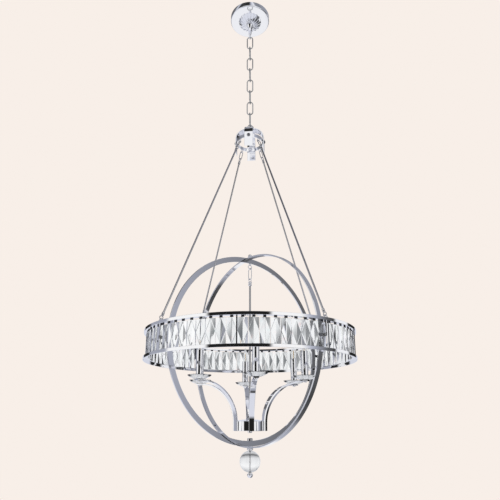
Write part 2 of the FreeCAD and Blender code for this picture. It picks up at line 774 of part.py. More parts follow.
def crossing_fittings():
    top = orb_centre() + hoop_outside()
    pin = size("finial_rod_radius")
    radius = size("top_knob_radius")
    tall = size("top_knob_height")
    knob = turned(
        (0, top - size("ring_thick")),
        (pin, top - size("ring_thick")),
        (pin, top),
        (radius * 0.7, top),
        (radius * 0.7, top + tall * 0.2),
        (radius, top + tall * 0.4, radius, top + tall * 0.55),
        crown(radius, top + tall * 0.55, top + tall),
    )
    feature("top_knob", knob)

    wire = size("eye_wire")
    ring_inside = orb_centre() + size("ring_radius") - size("ring_width")
    eye_radius = size("cluster_eye_radius")
    centre = ring_inside - size("cluster_eye_drop")
    boss = turned(
        (0, centre + eye_radius - wire / 4),
        (size("eye_neck"), centre + eye_radius - wire / 4),
        (2 * size("eye_neck"), ring_inside - wire),
        (2 * size("eye_neck"), ring_inside - size("fit_gap")),
        (0, ring_inside - size("fit_gap")),
    )
    ring = moved(eye(eye_radius, wire), Vec(0, 0, centre))
    feature("cluster_eye", ring.fuse(boss).removeSplitter())


def finial():
    top = orb_centre() - hoop_outside() - size("fit_gap")
    rod = size("finial_rod_radius")
    hole = rod + size("fit_gap")
    radius = size("finial_collar_radius")
    tall = size("finial_collar_height")
    collar = turned(
        (hole, top),
        (radius * 0.6, top),
        (radius, top - tall * 0.35, radius * 0.62, top - tall + 1),
        (radius * 0.62, top - tall),
        (hole, top - tall),
    )
    feature("finial_collar", collar)

    ball_centre = top - tall - size("ball_radius")
    ball = doc.addObject("Part::Sphere", "ball_sphere")
    ball.setExpression("Radius", "sizes.ball_radius")
    ball.Placement = FreeCAD.Placement(Vec(0, 0, ball_centre), FreeCAD.Rotation())
    bore = cylinder(
        "ball_bore",
        "sizes.finial_rod_radius + sizes.fit_gap",
        "sizes.ball_radius * 3",
        Vec(0, 0, ball_centre - size("ball_radius") * 1.5),
    )
    keep(cut("ball", ball, bore), "finial_ball")

    ball_end = ball_centre - size("ball_radius")
    start = top + size("ring_thick")
    feature("finial_rod", Part.makeCylinder(rod, start - ball_end, Vec(0, 0, ball_end)))

    knob_radius = size("end_knob_radius")
    knob_tall = size("end_knob_height")
    knob = turned(
        (0, ball_end),
        (knob_radius * 0.55, ball_end),
        (knob_radius * 0.55, ball_end - knob_tall * 0.15),
        (knob_radius * 0.92, ball_end - knob_tall * 0.24, knob_radius, ball_end - knob_tall * 0.45),
        crown(knob_radius, ball_end - knob_tall * 0.45, ball_end - knob_tall),
    )
    feature("end_knob", knob)


# ---- candle cluster ----

def cluster_eye_wire():
    """Level of the lowest wire of the eye that carries the cluster."""
    ring_inside = orb_centre() + size("ring_radius") - size("ring_width")
    return ring_inside - size("cluster_eye_drop") - size("cluster_eye_radius")


def cluster_link_wire():
    """Level of the lowest wire of the cluster's link."""
    return cluster_eye_wire() + 2 * size("eye_wire") + size("hang_gap") - size("cluster_link_length")


def stem_top():
    """Upper end of the stem, under its collar."""
    wire = size("eye_wire")
    eye_top = cluster_link_wire() + wire + size("hang_gap")
    return eye_top - 2 * size("eye_radius") - size("stem_collar_height")


def cluster_stem():
    wire = size("eye_wire")
    link = oval(size("cluster_link_length"), size("cluster_link_width"), wire)
    middle = cluster_link_wire() + (size("cluster_link_length") - wire) / 2
    feature("cluster_link", moved(link, Vec(0, 0, middle), 90))

    radius = size("stem_collar_radius")
    base = stem_top()
    top = base + size("stem_collar_height")
    collar = turned(
        (0, base),
        (radius * 0.75, base),
        (radius, base + 3, radius * 0.8, base + 6),
        (radius * 0.8, top - 6),
        (radius, top - 3.5, radius * 0.5, top - 0.5),
        (size("eye_neck"), top + wire / 4),
        (0, top + wire / 4),
    )
    ring = moved(eye(size("eye_radius"), wire), Vec(0, 0, top + size("eye_radius")))
    feature("stem_collar", ring.fuse(collar).removeSplitter())

    stem_end = cup_floor() - size("stem_nut_height") + 1
    stem = Part.makeCylinder(size("stem_radius"), base - stem_end, Vec(0, 0, stem_end))
    feature("cluster_stem", stem)


def lower_hub():
    radius = size("cup_radius")
    wall = size("cup_wall")
    floor = cup_floor()
    top = floor + size("cup_height")
    hole = size("stem_radius") + size("fit_gap")
    cup = turned(
        (hole, floor),
        (radius - 1, floor),
        (radius, floor + 1),
        (radius, top),
        (radius - wall, top),
        (radius - wall, floor + wall),
        (hole, floor + wall),
    )
    feature("arm_hub", cup)
    rise = size("cap_height")
    skin = size("cap_wall")
    cap = turned(
        (hole, top + rise),
        (hole, top + rise * 0.62 - skin),
        (radius * 0.26, top + rise * 0.62 - skin),
        (radius * 0.62, top + rise * 0.45 - skin, radius - skin, top),
        (radius, top),
        (radius, top + skin),
        (radius * 0.62, top + rise * 0.45, radius * 0.26, top + rise * 0.62),
        (radius * 0.22, top + rise),
    )
    feature("arm_hub_cap", cap)
    nut = size("stem_nut_radius")
    tall = size("stem_nut_height")
    ease = nut / 4
    low = floor - tall
    nut_shape = turned((hole, floor), (nut, floor), (nut, low + ease), (nut - ease, low), (hole, low))
    feature("stem_nut", nut_shape)


def arm():
    """One arm in the XZ plane: up the hub's side, then out in a quarter bend."""
    thick = size("arm_thick")
    bend = size("arm_bend")
    line = size("arm_line")
    foot = cup_floor()
    start = foot + size("arm_run")
    tip = size("candle_radius") + size("arm_tail")
    middle = Vec(line + bend, 0, start)
    slant = math.sqrt(0.5)

    def on_bend(radius):
        return middle + Vec(-radius * slant, 0, radius * slant)

    inner = bend + thick / 2
    outer = bend - thick / 2
    run = Vec(1, 0, 0)
    points = [
        Vec(line - thick / 2, 0, foot),
        middle - run * inner,
        middle + UP * inner,
        Vec(tip, 0, start + inner),
        Vec(tip, 0, start + outer),
        middle + UP * outer,
        middle - run * outer,
        Vec(line + thick / 2, 0, foot),
    ]
    edges = [
        Part.LineSegment(points[0], points[1]),
        Part.Arc(points[1], on_bend(inner), points[2]),
        Part.LineSegment(points[2], points[3]),
        Part.LineSegment(points[3], points[4]),
        Part.LineSegment(points[4], points[5]),
        Part.Arc(points[5], on_bend(outer), points[6]),
        Part.LineSegment(points[6], points[7]),
        Part.LineSegment(points[7], points[0]),
    ]
    face = Part.Face(Part.Wire([edge.toShape() for edge in edges]))
    strap = moved(face.extrude(Vec(0, size("arm_width"), 0)), Vec(0, -size("arm_width") / 2, 0))
    base = Vec(size("candle_radius"), 0, arm_tip() - thick - OVERSHOOT)
    hole = Part.makeCylinder(size("screw_radius") + size("fit_gap"), thick + 2 * OVERSHOOT, base)
    return strap.cut(hole)


def at_candles(shape):
    """A piece on every candle axis."""
    out = moved(shape, Vec(size("candle_radius"), 0, 0))
    return around(out, int(size("arm_count")), size("arm_turn"))


def bulb_glass(base):
    """A slim hollow bulb: a short neck, a swelling and a drawn-out tip."""
    neck = size("socket_bore")
    wide = size("bulb_radius")
    skin = size("bulb_wall")
    tall = size("bulb_height")
    shoulder = base + tall * 0.3
    taper = wide * 0.3
    outer = base + tall * 0.93
    return turned(
        (neck - skin, base),
        (neck, base),
        (neck + (wide - neck) * 0.75, base + tall * 0.13, wide, shoulder),
        (wide * 0.78, base + tall * 0.64, taper, outer),
        crown(taper, outer, base + tall),
        (0, base + tall - skin),
        crown(taper - skin / 2, outer - skin, base + tall - skin)[:2] + (taper - skin / 2, outer - skin),
        (wide * 0.78 - skin, base + tall * 0.63, wide - skin, shoulder),
        (neck + (wide - neck) * 0.75 - skin, base + tall * 0.13, neck - skin, base),
    )


def candles():
    for index, copy in enumerate(around(arm(), int(size("arm_count")), size("arm_turn"))):
        feature(f"arm_{index + 1}", copy)

    seat = arm_tip()
    hole = size("screw_radius") + size("fit_gap")
    wall = size("dish_wall")
    rim = size("dish_radius")
    rise = size("dish_rise")
    foot = size("sleeve_radius") + 2
    dish = turned(
        (hole, seat),
        (foot, seat),
        ((foot + rim) * 0.54, seat + rise * 0.36, rim, seat + rise),
        (rim, seat + rise + wall * 0.6),
        ((foot + rim) * 0.52, seat + rise * 0.42 + wall, foot, seat + wall),
        (hole, seat + wall),
    )
    feature("bobeches", Part.Compound(at_candles(dish)))

    floor = seat + wall
    sleeve_top = floor + size("sleeve_height")
    sleeve = turned(
        (size("sleeve_radius") - size("sleeve_wall"), floor),
        (size("sleeve_radius"), floor),
        (size("sleeve_radius"), sleeve_top),
        (size("sleeve_radius") - size("sleeve_wall"), sleeve_top),
    )
    feature("candle_sleeves", Part.Compound(at_candles(sleeve)))

    socket_top = sleeve_top - size("socket_inset")
    bore_floor = socket_top - size("socket_depth")
    screw_end = floor + size("screw_grip")
    socket = turned(
        (hole, floor),
        (size("socket_radius"), floor),
        (size("socket_radius"), socket_top),
        (size("socket_bore") + size("fit_gap"), socket_top),
        (size("socket_bore") + size("fit_gap"), bore_floor),
        (0, bore_floor),
        (0, screw_end),
        (hole, screw_end),
    )
    feature("lamp_sockets", Part.Compound(at_candles(socket)))

    under = seat - size("arm_thick")
    screw = turned(
        (0, under - size("screw_head_height")),
        (size("screw_head_radius") - 1, under - size("screw_head_height")),
        (size("screw_head_radius"), under - size("screw_head_height") + 1),
        (size("screw_head_radius"), under),
        (size("screw_radius"), under),
        (size("screw_radius"), screw_end),
        (0, screw_end),
    )
    feature("arm_screws", Part.Compound(at_candles(screw)))

    base = turned(
        (0, bore_floor),
        (size("socket_bore") * 0.5, bore_floor),
        (size("socket_bore"), bore_floor + 3),
        (size("socket_bore"), socket_top),
        (0, socket_top),
    )
    feature("bulb_bases", Part.Compound(at_candles(base)))

    feature("bulbs", Part.Compound(at_candles(bulb_glass(socket_top))))

    wire = Part.makeCylinder(size("filament_radius"), size("filament_height"), Vec(0, 0, socket_top))
    feature("filaments", Part.Compound(at_candles(wire)))


def check_and_write():
    doc.recompute()
    for item in doc.Objects:
        if "Invalid" in item.State or "Error" in item.State:
            raise RuntimeError(f"{item.Name} failed: {item.State}")
    for item in sub_parts:
        if item.Shape.isNull() or not item.Shape.isValid():
            raise RuntimeError(f"{item.Label} is not a valid shape")
    os.makedirs("parts", exist_ok=True)
    for item in sub_parts:
        item.Shape.exportStep(f"parts/{item.Label}.step")
        print(f"{item.Label}: {len(item.Shape.Solids)} solids, {item.Shape.Volume / 1000:.2f} cm3")
    width = size("crystal_width")
    print(f"{len(sub_parts)} nodes, centre of the orb at {orb_centre():.2f}, crystals {width:.2f} wide")


fill_sheet()
ceiling_strap()
canopy()
chain()
upper_hub()
rods()
bands()
posts()
lugs()
crystals()
brackets()
orb()
crossing_fittings()
finial()
cluster_stem()
lower_hub()
candles()
check_and_write()
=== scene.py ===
import bmesh
import bpy
import json
from math import atan2, copysign, cos, hypot, pi, radians, sin, tan
from mathutils import Matrix, Vector


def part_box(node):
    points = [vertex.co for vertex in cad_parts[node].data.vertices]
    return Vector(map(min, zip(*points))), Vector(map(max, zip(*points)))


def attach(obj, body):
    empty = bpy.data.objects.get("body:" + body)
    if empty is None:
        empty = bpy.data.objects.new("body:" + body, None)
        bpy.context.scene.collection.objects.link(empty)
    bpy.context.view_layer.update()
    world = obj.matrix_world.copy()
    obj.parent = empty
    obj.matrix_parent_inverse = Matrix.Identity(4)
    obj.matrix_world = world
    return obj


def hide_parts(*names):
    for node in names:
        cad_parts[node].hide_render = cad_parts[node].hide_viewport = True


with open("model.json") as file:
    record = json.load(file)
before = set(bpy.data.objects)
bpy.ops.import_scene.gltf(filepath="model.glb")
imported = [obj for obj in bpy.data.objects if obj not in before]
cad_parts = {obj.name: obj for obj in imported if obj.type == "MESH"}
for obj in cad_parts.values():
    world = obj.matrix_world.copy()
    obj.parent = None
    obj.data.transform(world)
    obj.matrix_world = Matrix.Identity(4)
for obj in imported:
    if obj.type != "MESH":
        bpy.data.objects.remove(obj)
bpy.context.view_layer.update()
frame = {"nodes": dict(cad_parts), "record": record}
bodies = frame["record"]["behaviour"]["bodies"]
bodyOf = {node: body for body, names in bodies.items() for node in names}

# Sizes are in millimetres, as in the drawing, and become metres when a mesh is made.
mm = 0.001
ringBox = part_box("orb_flat_ring")
orbCentre = (ringBox[0][2] + ringBox[1][2]) / 2 / mm
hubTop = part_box("upper_hub")[1][2] / mm


# A profile is a list of (r, z) points, and a shape is a pair: its points and its faces.
def arc(centre, radius, start, end, steps):
    angles = [radians(start + (end - start) * k / steps) for k in range(steps + 1)]
    return [(centre[0] + radius * cos(a), centre[1] + radius * sin(a)) for a in angles]


# Profile from (radius, base) to the axis at the level top, over a sphere centred on the axis.
def crown(radius, base, top, steps=8):
    rise = top - base
    ball = (radius**2 + rise**2) / (2 * abs(rise))
    centre = top - copysign(ball, rise)
    start = atan2(base - centre, radius)
    end = copysign(pi / 2, rise)
    angles = [start + (end - start) * k / steps for k in range(steps)]
    return [(ball * cos(a), centre + ball * sin(a)) for a in angles] + [(0.0, top)]


# Profile on the circle through three points.
def through(first, middle, last, steps=10):
    (ax, az), (bx, bz), (cx, cz) = first, middle, last
    a, b, c = ax**2 + az**2, bx**2 + bz**2, cx**2 + cz**2
    double = 2 * (ax * (bz - cz) + bx * (cz - az) + cx * (az - bz))
    x = (a * (bz - cz) + b * (cz - az) + c * (az - bz)) / double
    z = (a * (cx - bx) + b * (ax - cx) + c * (bx - ax)) / double
    radius = hypot(ax - x, az - z)
    angles = [atan2(p[1] - z, p[0] - x) for p in (first, middle, last)]
    for k in (1, 2):  # the shorter way round from each point to the next
        angles[k] -= 2 * pi * round((angles[k] - angles[k - 1]) / (2 * pi))
    swing = [angles[0] + (angles[2] - angles[0]) * k / steps for k in range(steps + 1)]
    return [(x + radius * cos(turn), z + radius * sin(turn)) for turn in swing]


# Profile points given as shares of a radius and of a height.
def scaled(shares, radius, base, height):
    return [(radius * across, base + height * up) for across, up in shares]


# Turns a profile about Z. A closed profile makes a ring, an open one ends on the axis.
def lathe(profile, segments=64, closed=True):
    points, rows, faces = [], [], []
    for r, z in profile:
        around = segments if r > 1e-6 else 1
        rows.append(range(len(points), len(points) + around))
        angles = [2 * pi * k / segments for k in range(around)]
        points += [(r * cos(a), r * sin(a), z) for a in angles]
    for low, high in zip(rows, rows[1:] + rows[:1] if closed else rows[1:]):
        if len(low) == len(high) == 1:
            continue
        for k in range(segments):
            n = (k + 1) % segments
            if len(low) == 1:
                faces.append((low[0], high[n], high[k]))
            elif len(high) == 1:
                faces.append((low[k], low[n], high[0]))
            else:
                faces.append((low[k], low[n], high[n], high[k]))
    return points, faces


# Faces over rows of points, all rows of one length. Open rows get a face at each end.
def skinned(points, sides, closed=False):
    rows = len(points) // sides
    faces = []
    for k in range(rows if closed else rows - 1):
        n = (k + 1) % rows
        for j in range(sides):
            m = (j + 1) % sides
            faces.append((k * sides + j, k * sides + m, n * sides + m, n * sides + j))
    if not closed:
        faces.append(tuple(range(sides - 1, -1, -1)))
        faces.append(tuple(range((rows - 1) * sides, rows * sides)))
    return points, faces


# Round wire along a path of points.
def sweep(path, radius, sides=14, closed=True):
    path = [Vector(p) for p in path]
    count = len(path)
    side = (path[1] - path[0]).normalized().orthogonal().normalized()
    if closed:
        normal = Vector((0, 0, 0))
        for a, b in zip(path, path[1:]):
            normal += a.cross(b)
        side = normal.normalized()
    points = []
    for k, here in enumerate(path):
        before = path[k - 1] if closed or k > 0 else here
        after = path[(k + 1) % count] if closed or k < count - 1 else here
        along = (after - before).normalized()
        side = (side - along * side.dot(along)).normalized()
        other = along.cross(side)
        for j in range(sides):
            angle = 2 * pi * j / sides
            points.append(tuple(here + (side * cos(angle) + other * sin(angle)) * radius))
    return skinned(points, sides, closed)


# A closed outline of (x, z) points, given a width along Y.
def prism(outline, width):
    return skinned([(x, y, z) for y in (-width / 2, width / 2) for x, z in outline], len(outline))


# A strap between two open lines of (x, z) points, with its long edges eased.
def band(inner, outer, width, edge):
    half, eased = Vector((0, width / 2, 0)), Vector((0, width / 2 - edge, 0))
    points = []
    for a, b in zip(inner, outer):
        a, b = Vector((a[0], 0, a[1])), Vector((b[0], 0, b[1]))
        across = (b - a).normalized() * edge
        points += [a + across - half, b - across - half, b - eased, b + eased,
                   b - across + half, a + across + half, a + eased, a - eased]
    return skinned([tuple(p) for p in points], 8)


# Centre line of an oval link in the XZ plane.
def stadium(length, width, wire, steps=12):
    bend = (width - wire) / 2
    straight = (length - width) / 2
    angles = [pi * k / steps for k in range(steps + 1)]
    top = [(bend * cos(a), 0, straight + bend * sin(a)) for a in angles]
    low = [(-x, y, -z) for x, y, z in top]
    return top + low if straight > 0 else top[:-1] + low[:-1]


def eye(radius, wire):
    return sweep(stadium(2 * radius + wire, 2 * radius + wire, wire, 16), wire / 2)


def transformed(shape, matrix):
    points, faces = shape
    return [tuple(matrix @ Vector(p)) for p in points], faces


# Turns a shape where it is, then moves it.
def placed(shape, base=(0, 0, 0), turn=0, axis="Z"):
    return transformed(shape, Matrix.Translation(base) @ Matrix.Rotation(radians(turn), 4, axis))


def joined(*shapes):
    points, faces = [], []
    for more, sides in shapes:
        start = len(points)
        points += more
        faces += [tuple(start + k for k in side) for side in sides]
    return points, faces


def meshObject(name, shape, smooth):
    points, faces = shape
    mesh = bpy.data.meshes.new(name)
    mesh.from_pydata([(x * mm, y * mm, z * mm) for x, y, z in points], [], faces)
    mesh.update()
    work = bmesh.new()
    work.from_mesh(mesh)
    bmesh.ops.remove_doubles(work, verts=work.verts, dist=1e-7)
    bmesh.ops.recalc_face_normals(work, faces=work.faces)
    work.to_mesh(mesh)
    work.free()
    if smooth:
        mesh.shade_smooth()
        mesh.set_sharp_from_angle(angle=radians(smooth))
    thing = bpy.data.objects.new(name, mesh)
    bpy.context.scene.collection.objects.link(thing)
    return thing


# A socket is linked to the node's input, anything else is set as its value.
def feed(tree, node, inputs):
    for name, value in inputs.items():
        if isinstance(value, bpy.types.NodeSocket):
            tree.links.new(value, node.inputs[name])
        else:
            node.inputs[name].default_value = value


def addNode(tree, kind, inputs=None, **settings):
    node = tree.nodes.new(kind)
    for name, value in settings.items():
        setattr(node, name, value)
    feed(tree, node, inputs or {})
    return node


def maths(tree, operation, *values):
    inputs = dict(enumerate(values))
    return addNode(tree, "ShaderNodeMath", inputs, operation=operation).outputs[0]


# Geometry Nodes that copy a piece evenly round the vertical axis.
def copiesTree():
    tree = bpy.data.node_groups.new("copiesRoundAxis", "GeometryNodeTree")
    face = tree.interface
    face.new_socket("Geometry", in_out="INPUT", socket_type="NodeSocketGeometry")
    face.new_socket("Count", in_out="INPUT", socket_type="NodeSocketInt")
    face.new_socket("Start", in_out="INPUT", socket_type="NodeSocketFloat")
    face.new_socket("Material", in_out="INPUT", socket_type="NodeSocketMaterial")
    face.new_socket("Geometry", in_out="OUTPUT", socket_type="NodeSocketGeometry")
    given = addNode(tree, "NodeGroupInput").outputs
    points = addNode(tree, "GeometryNodePoints", {"Count": given["Count"]})
    index = addNode(tree, "GeometryNodeInputIndex")
    step = maths(tree, "DIVIDE", 2 * pi, given["Count"])
    angle = maths(tree, "MULTIPLY_ADD", index.outputs[0], step, given["Start"])
    turn = addNode(tree, "ShaderNodeCombineXYZ", {"Z": angle})
    rotation = addNode(tree, "FunctionNodeEulerToRotation", {0: turn.outputs[0]})
    copies = addNode(tree, "GeometryNodeInstanceOnPoints", {
        "Points": points.outputs[0], "Instance": given["Geometry"],
        "Rotation": rotation.outputs[0]})
    real = addNode(tree, "GeometryNodeRealizeInstances", {0: copies.outputs[0]})
    finish = addNode(tree, "GeometryNodeSetMaterial", {
        "Geometry": real.outputs[0], "Material": given["Material"]})
    addNode(tree, "NodeGroupOutput", {0: finish.outputs[0]})
    return tree


roundTree = copiesTree()


# Runs the tree on a piece and keeps the result as a plain mesh.
def roundAxis(thing, count, startDegrees, material):
    modifier = thing.modifiers.new("copies", "NODES")
    modifier.node_group = roundTree
    values = {"Count": count, "Start": radians(startDegrees), "Material": material}
    for item in roundTree.interface.items_tree:
        if item.in_out == "INPUT" and item.name in values:
            modifier[item.identifier] = values[item.name]
    evaluated = thing.evaluated_get(bpy.context.evaluated_depsgraph_get())
    mesh = bpy.data.meshes.new_from_object(evaluated)
    thing.modifiers.remove(modifier)
    thing.data = mesh


# A mesh with its material, which rides with a node's body. Copies are (count, start in degrees).
def finished(name, node, shape, material, copies=None, smooth=35):
    thing = meshObject(name, shape, smooth)
    if copies:
        roundAxis(thing, *copies, material)
    if not thing.data.materials:
        thing.data.materials.append(material)
    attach(thing, bodyOf[node])
    return thing


# A finished piece that stands for the node.
def piece(name, node, shape, material, copies=None, smooth=35):
    thing = finished(name, node, shape, material, copies, smooth)
    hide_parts(node)
    return thing


def newMaterial(name):
    material = bpy.data.materials.new(name)
    material.use_nodes = True
    return material, material.node_tree, material.node_tree.nodes["Principled BSDF"]


def objectNoise(tree, scale, detail=3.0):
    place = addNode(tree, "ShaderNodeTexCoord").outputs["Object"]
    inputs = {"Vector": place, "Scale": scale, "Detail": detail}
    return addNode(tree, "ShaderNodeTexNoise", inputs).outputs["Fac"]


def ranged(tree, source, start, end, low=0.0, high=1.0):
    inputs = {"Value": source, "From Min": start, "From Max": end, "To Min": low, "To Max": high}
    return addNode(tree, "ShaderNodeMapRange", inputs).outputs[0]


def mixed(tree, factor, first, second):
    return addNode(tree, "ShaderNodeMixRGB", {0: factor, 1: first, 2: second}).outputs[0]


def mixedShaders(tree, factor, first, second):
    return addNode(tree, "ShaderNodeMixShader", {0: factor, 1: first, 2: second}).outputs[0]


def colourRamp(tree, source, stops):
    ramp = addNode(tree, "ShaderNodeValToRGB", {0: source})
    elements = ramp.color_ramp.elements
    for index, (where, colour) in enumerate(stops):
        stop = elements[index] if index < 2 else elements.new(where)
        stop.position = where
        stop.color = (*colour, 1)
    return ramp.outputs[0]


# The tints after the first are painted shade: darker copies of the one polished chrome, for the
# thin rods and stems, the chain and the hub knobs.
chrome = {
    "tint": (0.90, 0.90, 0.915),
    "paintedShadeTint": (0.56, 0.555, 0.56),
    "chainPaintedShadeTint": (0.54, 0.54, 0.525),
    "knobPaintedShadeTint": (0.24, 0.24, 0.25),
    "roughness": (0.02, 0.075),
    "hazeScale": 9.0,
    "ripple": 0.008,
    "rippleScale": 22.0,
    "rippleDepth": 0.002,
}


def chromeMaterial(name, tint, s):
    material, tree, shader = newMaterial(name)
    haze = objectNoise(tree, s["hazeScale"])
    wave = objectNoise(tree, s["rippleScale"], 1.0)
    bump = addNode(tree, "ShaderNodeBump", {
        "Strength": s["ripple"], "Distance": s["rippleDepth"], "Height": wave})
    feed(tree, shader, {
        "Base Color": (*tint, 1), "Metallic": 1.0, "Normal": bump.outputs[0],
        "Roughness": ranged(tree, haze, 0, 1, *s["roughness"])})
    return material


def glassMaterial(name, tint, ior, roughness):
    material, tree, shader = newMaterial(name)
    haze = objectNoise(tree, 30.0, 2.0)
    feed(tree, shader, {
        "Base Color": (*tint, 1), "Transmission Weight": 1.0, "IOR": ior,
        "Roughness": ranged(tree, haze, 0, 1, *roughness)})
    return material


# The glints are painted: teal and rose noise spots in the glass colour stand in for the coloured
# light that cut glass splits.
cutGlass = {
    "ior": 1.62,
    "paintedGlintScale": 55.0,
    "paintedGlints": (  # teal, two clear tones and rose
        (0.0, (0.72, 0.98, 0.96)), (0.30, (0.97, 0.985, 0.99)),
        (0.68, (0.98, 0.98, 0.985)), (0.80, (0.99, 0.84, 0.84)),
    ),
}


def crystalMaterial(name, s):
    material, tree, shader = newMaterial(name)
    # Painted glints: the glass colour wanders through teal and rose in small spots.
    tint = colourRamp(tree, objectNoise(tree, s["paintedGlintScale"], 1.0), s["paintedGlints"])
    feed(tree, shader, {
        "Base Color": tint, "Transmission Weight": 1.0, "IOR": s["ior"], "Roughness": 0.0})
    return material


def paintMaterial(name, tint, roughness, metallic=0.0):
    material, tree, shader = newMaterial(name)
    speck = objectNoise(tree, 160.0)
    shaded = [c * 0.86 for c in tint]
    feed(tree, shader, {
        "Base Color": mixed(tree, speck, (*shaded, 1), (*tint, 1)), "Metallic": metallic,
        "Roughness": ranged(tree, speck, 0, 1, *roughness)})
    return material


# Lit and shaded copies of one chrome: all but the first paint shade into the metal's colour.
polishedChrome = chromeMaterial("polishedChrome", chrome["tint"], chrome)
paintedShadeChrome = chromeMaterial("paintedShadeChrome", chrome["paintedShadeTint"], chrome)
knobPaintedShadeChrome = chromeMaterial("knobPaintedShadeChrome", chrome["knobPaintedShadeTint"], chrome)
chainPaintedShadeChrome = chromeMaterial("chainPaintedShadeChrome", chrome["chainPaintedShadeTint"], chrome)
cutCrystal = crystalMaterial("cutCrystal", cutGlass)
ballCrystal = glassMaterial("ballCrystal", (0.985, 0.99, 0.995), 1.5, (0.03, 0.05))
blownGlass = glassMaterial("blownGlass", (0.98, 0.985, 0.985), 1.46, (0.02, 0.04))
dishGlass = glassMaterial("dishGlass", (0.97, 0.975, 0.98), 1.22, (0.02, 0.04))
blackLacquer = paintMaterial("blackLacquer", (0.025, 0.025, 0.028), (0.25, 0.4))
zincSteel = paintMaterial("zincSteel", (0.55, 0.55, 0.56), (0.3, 0.45), 1.0)
plainBrass = paintMaterial("plainBrass", (0.62, 0.47, 0.2), (0.2, 0.35), 1.0)
socketPlastic = paintMaterial("socketPlastic", (0.8, 0.78, 0.73), (0.4, 0.55))
warmWire = paintMaterial("warmWire", (0.85, 0.55, 0.2), (0.3, 0.4), 1.0)
print("materials made")


camera = {
    "distance": 1700,      # from the vertical axis
    "below": 256,          # below the centre of the orb
    "azimuth": -39.2,      # degrees, 0 looks along +Y
    "pitch": 14.44,        # degrees up
    "focalPixels": 467.8,
    "framePixels": 500,
    "shiftY": 0.1,
}


def makeCamera(s):
    data = bpy.data.cameras.new("camera")
    data.sensor_width = 36
    data.lens = s["focalPixels"] / s["framePixels"] * data.sensor_width
    data.shift_y = s["shiftY"]
    data.clip_start, data.clip_end = 0.05, 50
    angle, distance = radians(s["azimuth"]), s["distance"] * mm
    thing = bpy.data.objects.new("camera", data)
    thing.location = (distance * sin(angle), -distance * cos(angle), (orbCentre - s["below"]) * mm)
    thing.rotation_euler = (pi / 2 + radians(s["pitch"]), 0, angle)
    bpy.context.scene.collection.objects.link(thing)
    bpy.context.scene.camera = thing


paper = (0.938, 0.862, 0.807)

# What polished metal mirrors: (degrees from +X, brightness) round the room. The camera is at -129.
# Each zone above or below the walls comes in between two heights, where 1 is straight up.
studio = {
    "violet": 0.56,  # tint of the middle tones
    "walls": (
        (-180, 1.0), (-175, 1.0), (-171, 0.015), (-110, 0.015), (-106, 1.0), (-76, 1.0),
        (-66, 0.58), (-61, 0.46), (-57, 0.36), (-51, 0.25), (-46, 0.17), (-43, 0.12),
        (-38, 0.10), (-33, 0.05), (-29, 0.95), (-8, 0.95), (-3, 0.02), (19, 0.02),
        (24, 0.78), (78, 0.78), (83, 0.02), (100, 0.02), (106, 0.42), (134, 0.42),
        (140, 1.0), (180, 1.0),
    ),
    "zones": (
        ((0.36, 0.42), (
            (-180, 0.3), (-165, 0.95), (-100, 1.0), (-88, 0.5), (-60, 0.35), (-45, 0.33),
            (40, 0.33), (60, 0.12), (120, 0.15), (150, 0.3), (180, 0.3),
        )),
        ((0.64, 0.67), (
            (-180, 0.05), (-134, 0.02), (-120, 0.6), (-108, 0.9), (-95, 0.3), (-70, 0.25),
            (-45, 0.35), (45, 0.35), (60, 0.2), (120, 0.1), (150, 0.7), (165, 0.05), (180, 0.05),
        )),
        ((-0.2, -0.34), (
            (-180, 0.8), (-70, 0.8), (-55, 0.15), (-25, 0.06), (0, 0.10), (15, 0.35),
            (34, 0.5), (42, 0.95), (62, 0.95), (75, 0.8), (180, 0.8),
        )),
    ),
}

# What glass shows: greys by height, and a screen of pale slats behind the cut crystals.
screen = {
    "rimViolet": 0.1,
    "rim": (
        (0.0, 0.5), (0.14, 0.68), (0.19, 0.35), (0.24, 0.10), (0.28, 0.45), (0.36, 0.78),
        (0.62, 0.95), (0.80, 0.62), (0.92, 0.4), (1.0, 0.25),
    ),
    "slats": 34,
    "slatSlope": 22,
    "slatTones": (
        (0.0, (0.20, 0.21, 0.22)), (0.12, (0.42, 0.43, 0.44)), (0.3, (0.78, 0.80, 0.81)),
        (0.55, (0.93, 0.94, 0.95)), (1.0, (1.0, 1.0, 1.0)),
    ),
    "aim": (0.63, 0.77, 0.1),
    "spread": (42, 30),      # degrees from the aim: where the slats start and are full
    "middle": 0.12,          # their height
    "reach": (0.34, 0.22),   # how far up and down they start and are full
}


def violetGrey(shade, violet):
    cool = violet * shade * (1 - shade)
    return shade * (1 - cool * 0.7), shade * (1 - cool * 0.4), shade * (1 + cool * 0.8)


# What the studio shows round the compass at one height.
def compassTones(tree, turn, stops, violet):
    stops = [((angle + 180) / 360, violetGrey(shade, violet)) for angle, shade in stops]
    return colourRamp(tree, turn, stops)


def slatScreen(tree, s, place, compass, level, singular):
    phase = maths(tree, "MULTIPLY", compass, s["slats"])
    phase = maths(tree, "MULTIPLY_ADD", level, s["slatSlope"], phase)
    tones = colourRamp(tree, ranged(tree, maths(tree, "SINE", phase), -1, 1), s["slatTones"])
    aim = addNode(tree, "ShaderNodeVectorMath", {0: place, 1: s["aim"]}, operation="DOT_PRODUCT")
    window = ranged(tree, aim.outputs["Value"], *[cos(radians(angle)) for angle in s["spread"]])
    away = maths(tree, "ABSOLUTE", maths(tree, "SUBTRACT", level, s["middle"]))
    inside = maths(tree, "MULTIPLY", window, ranged(tree, away, *s["reach"]))
    sharp = maths(tree, "MULTIPLY", inside, singular)  # only the cut crystals have no haze
    rim = [(where, violetGrey(shade, s["rimViolet"])) for where, shade in s["rim"]]
    return mixed(tree, sharp, colourRamp(tree, ranged(tree, level, -1, 1), rim), tones)


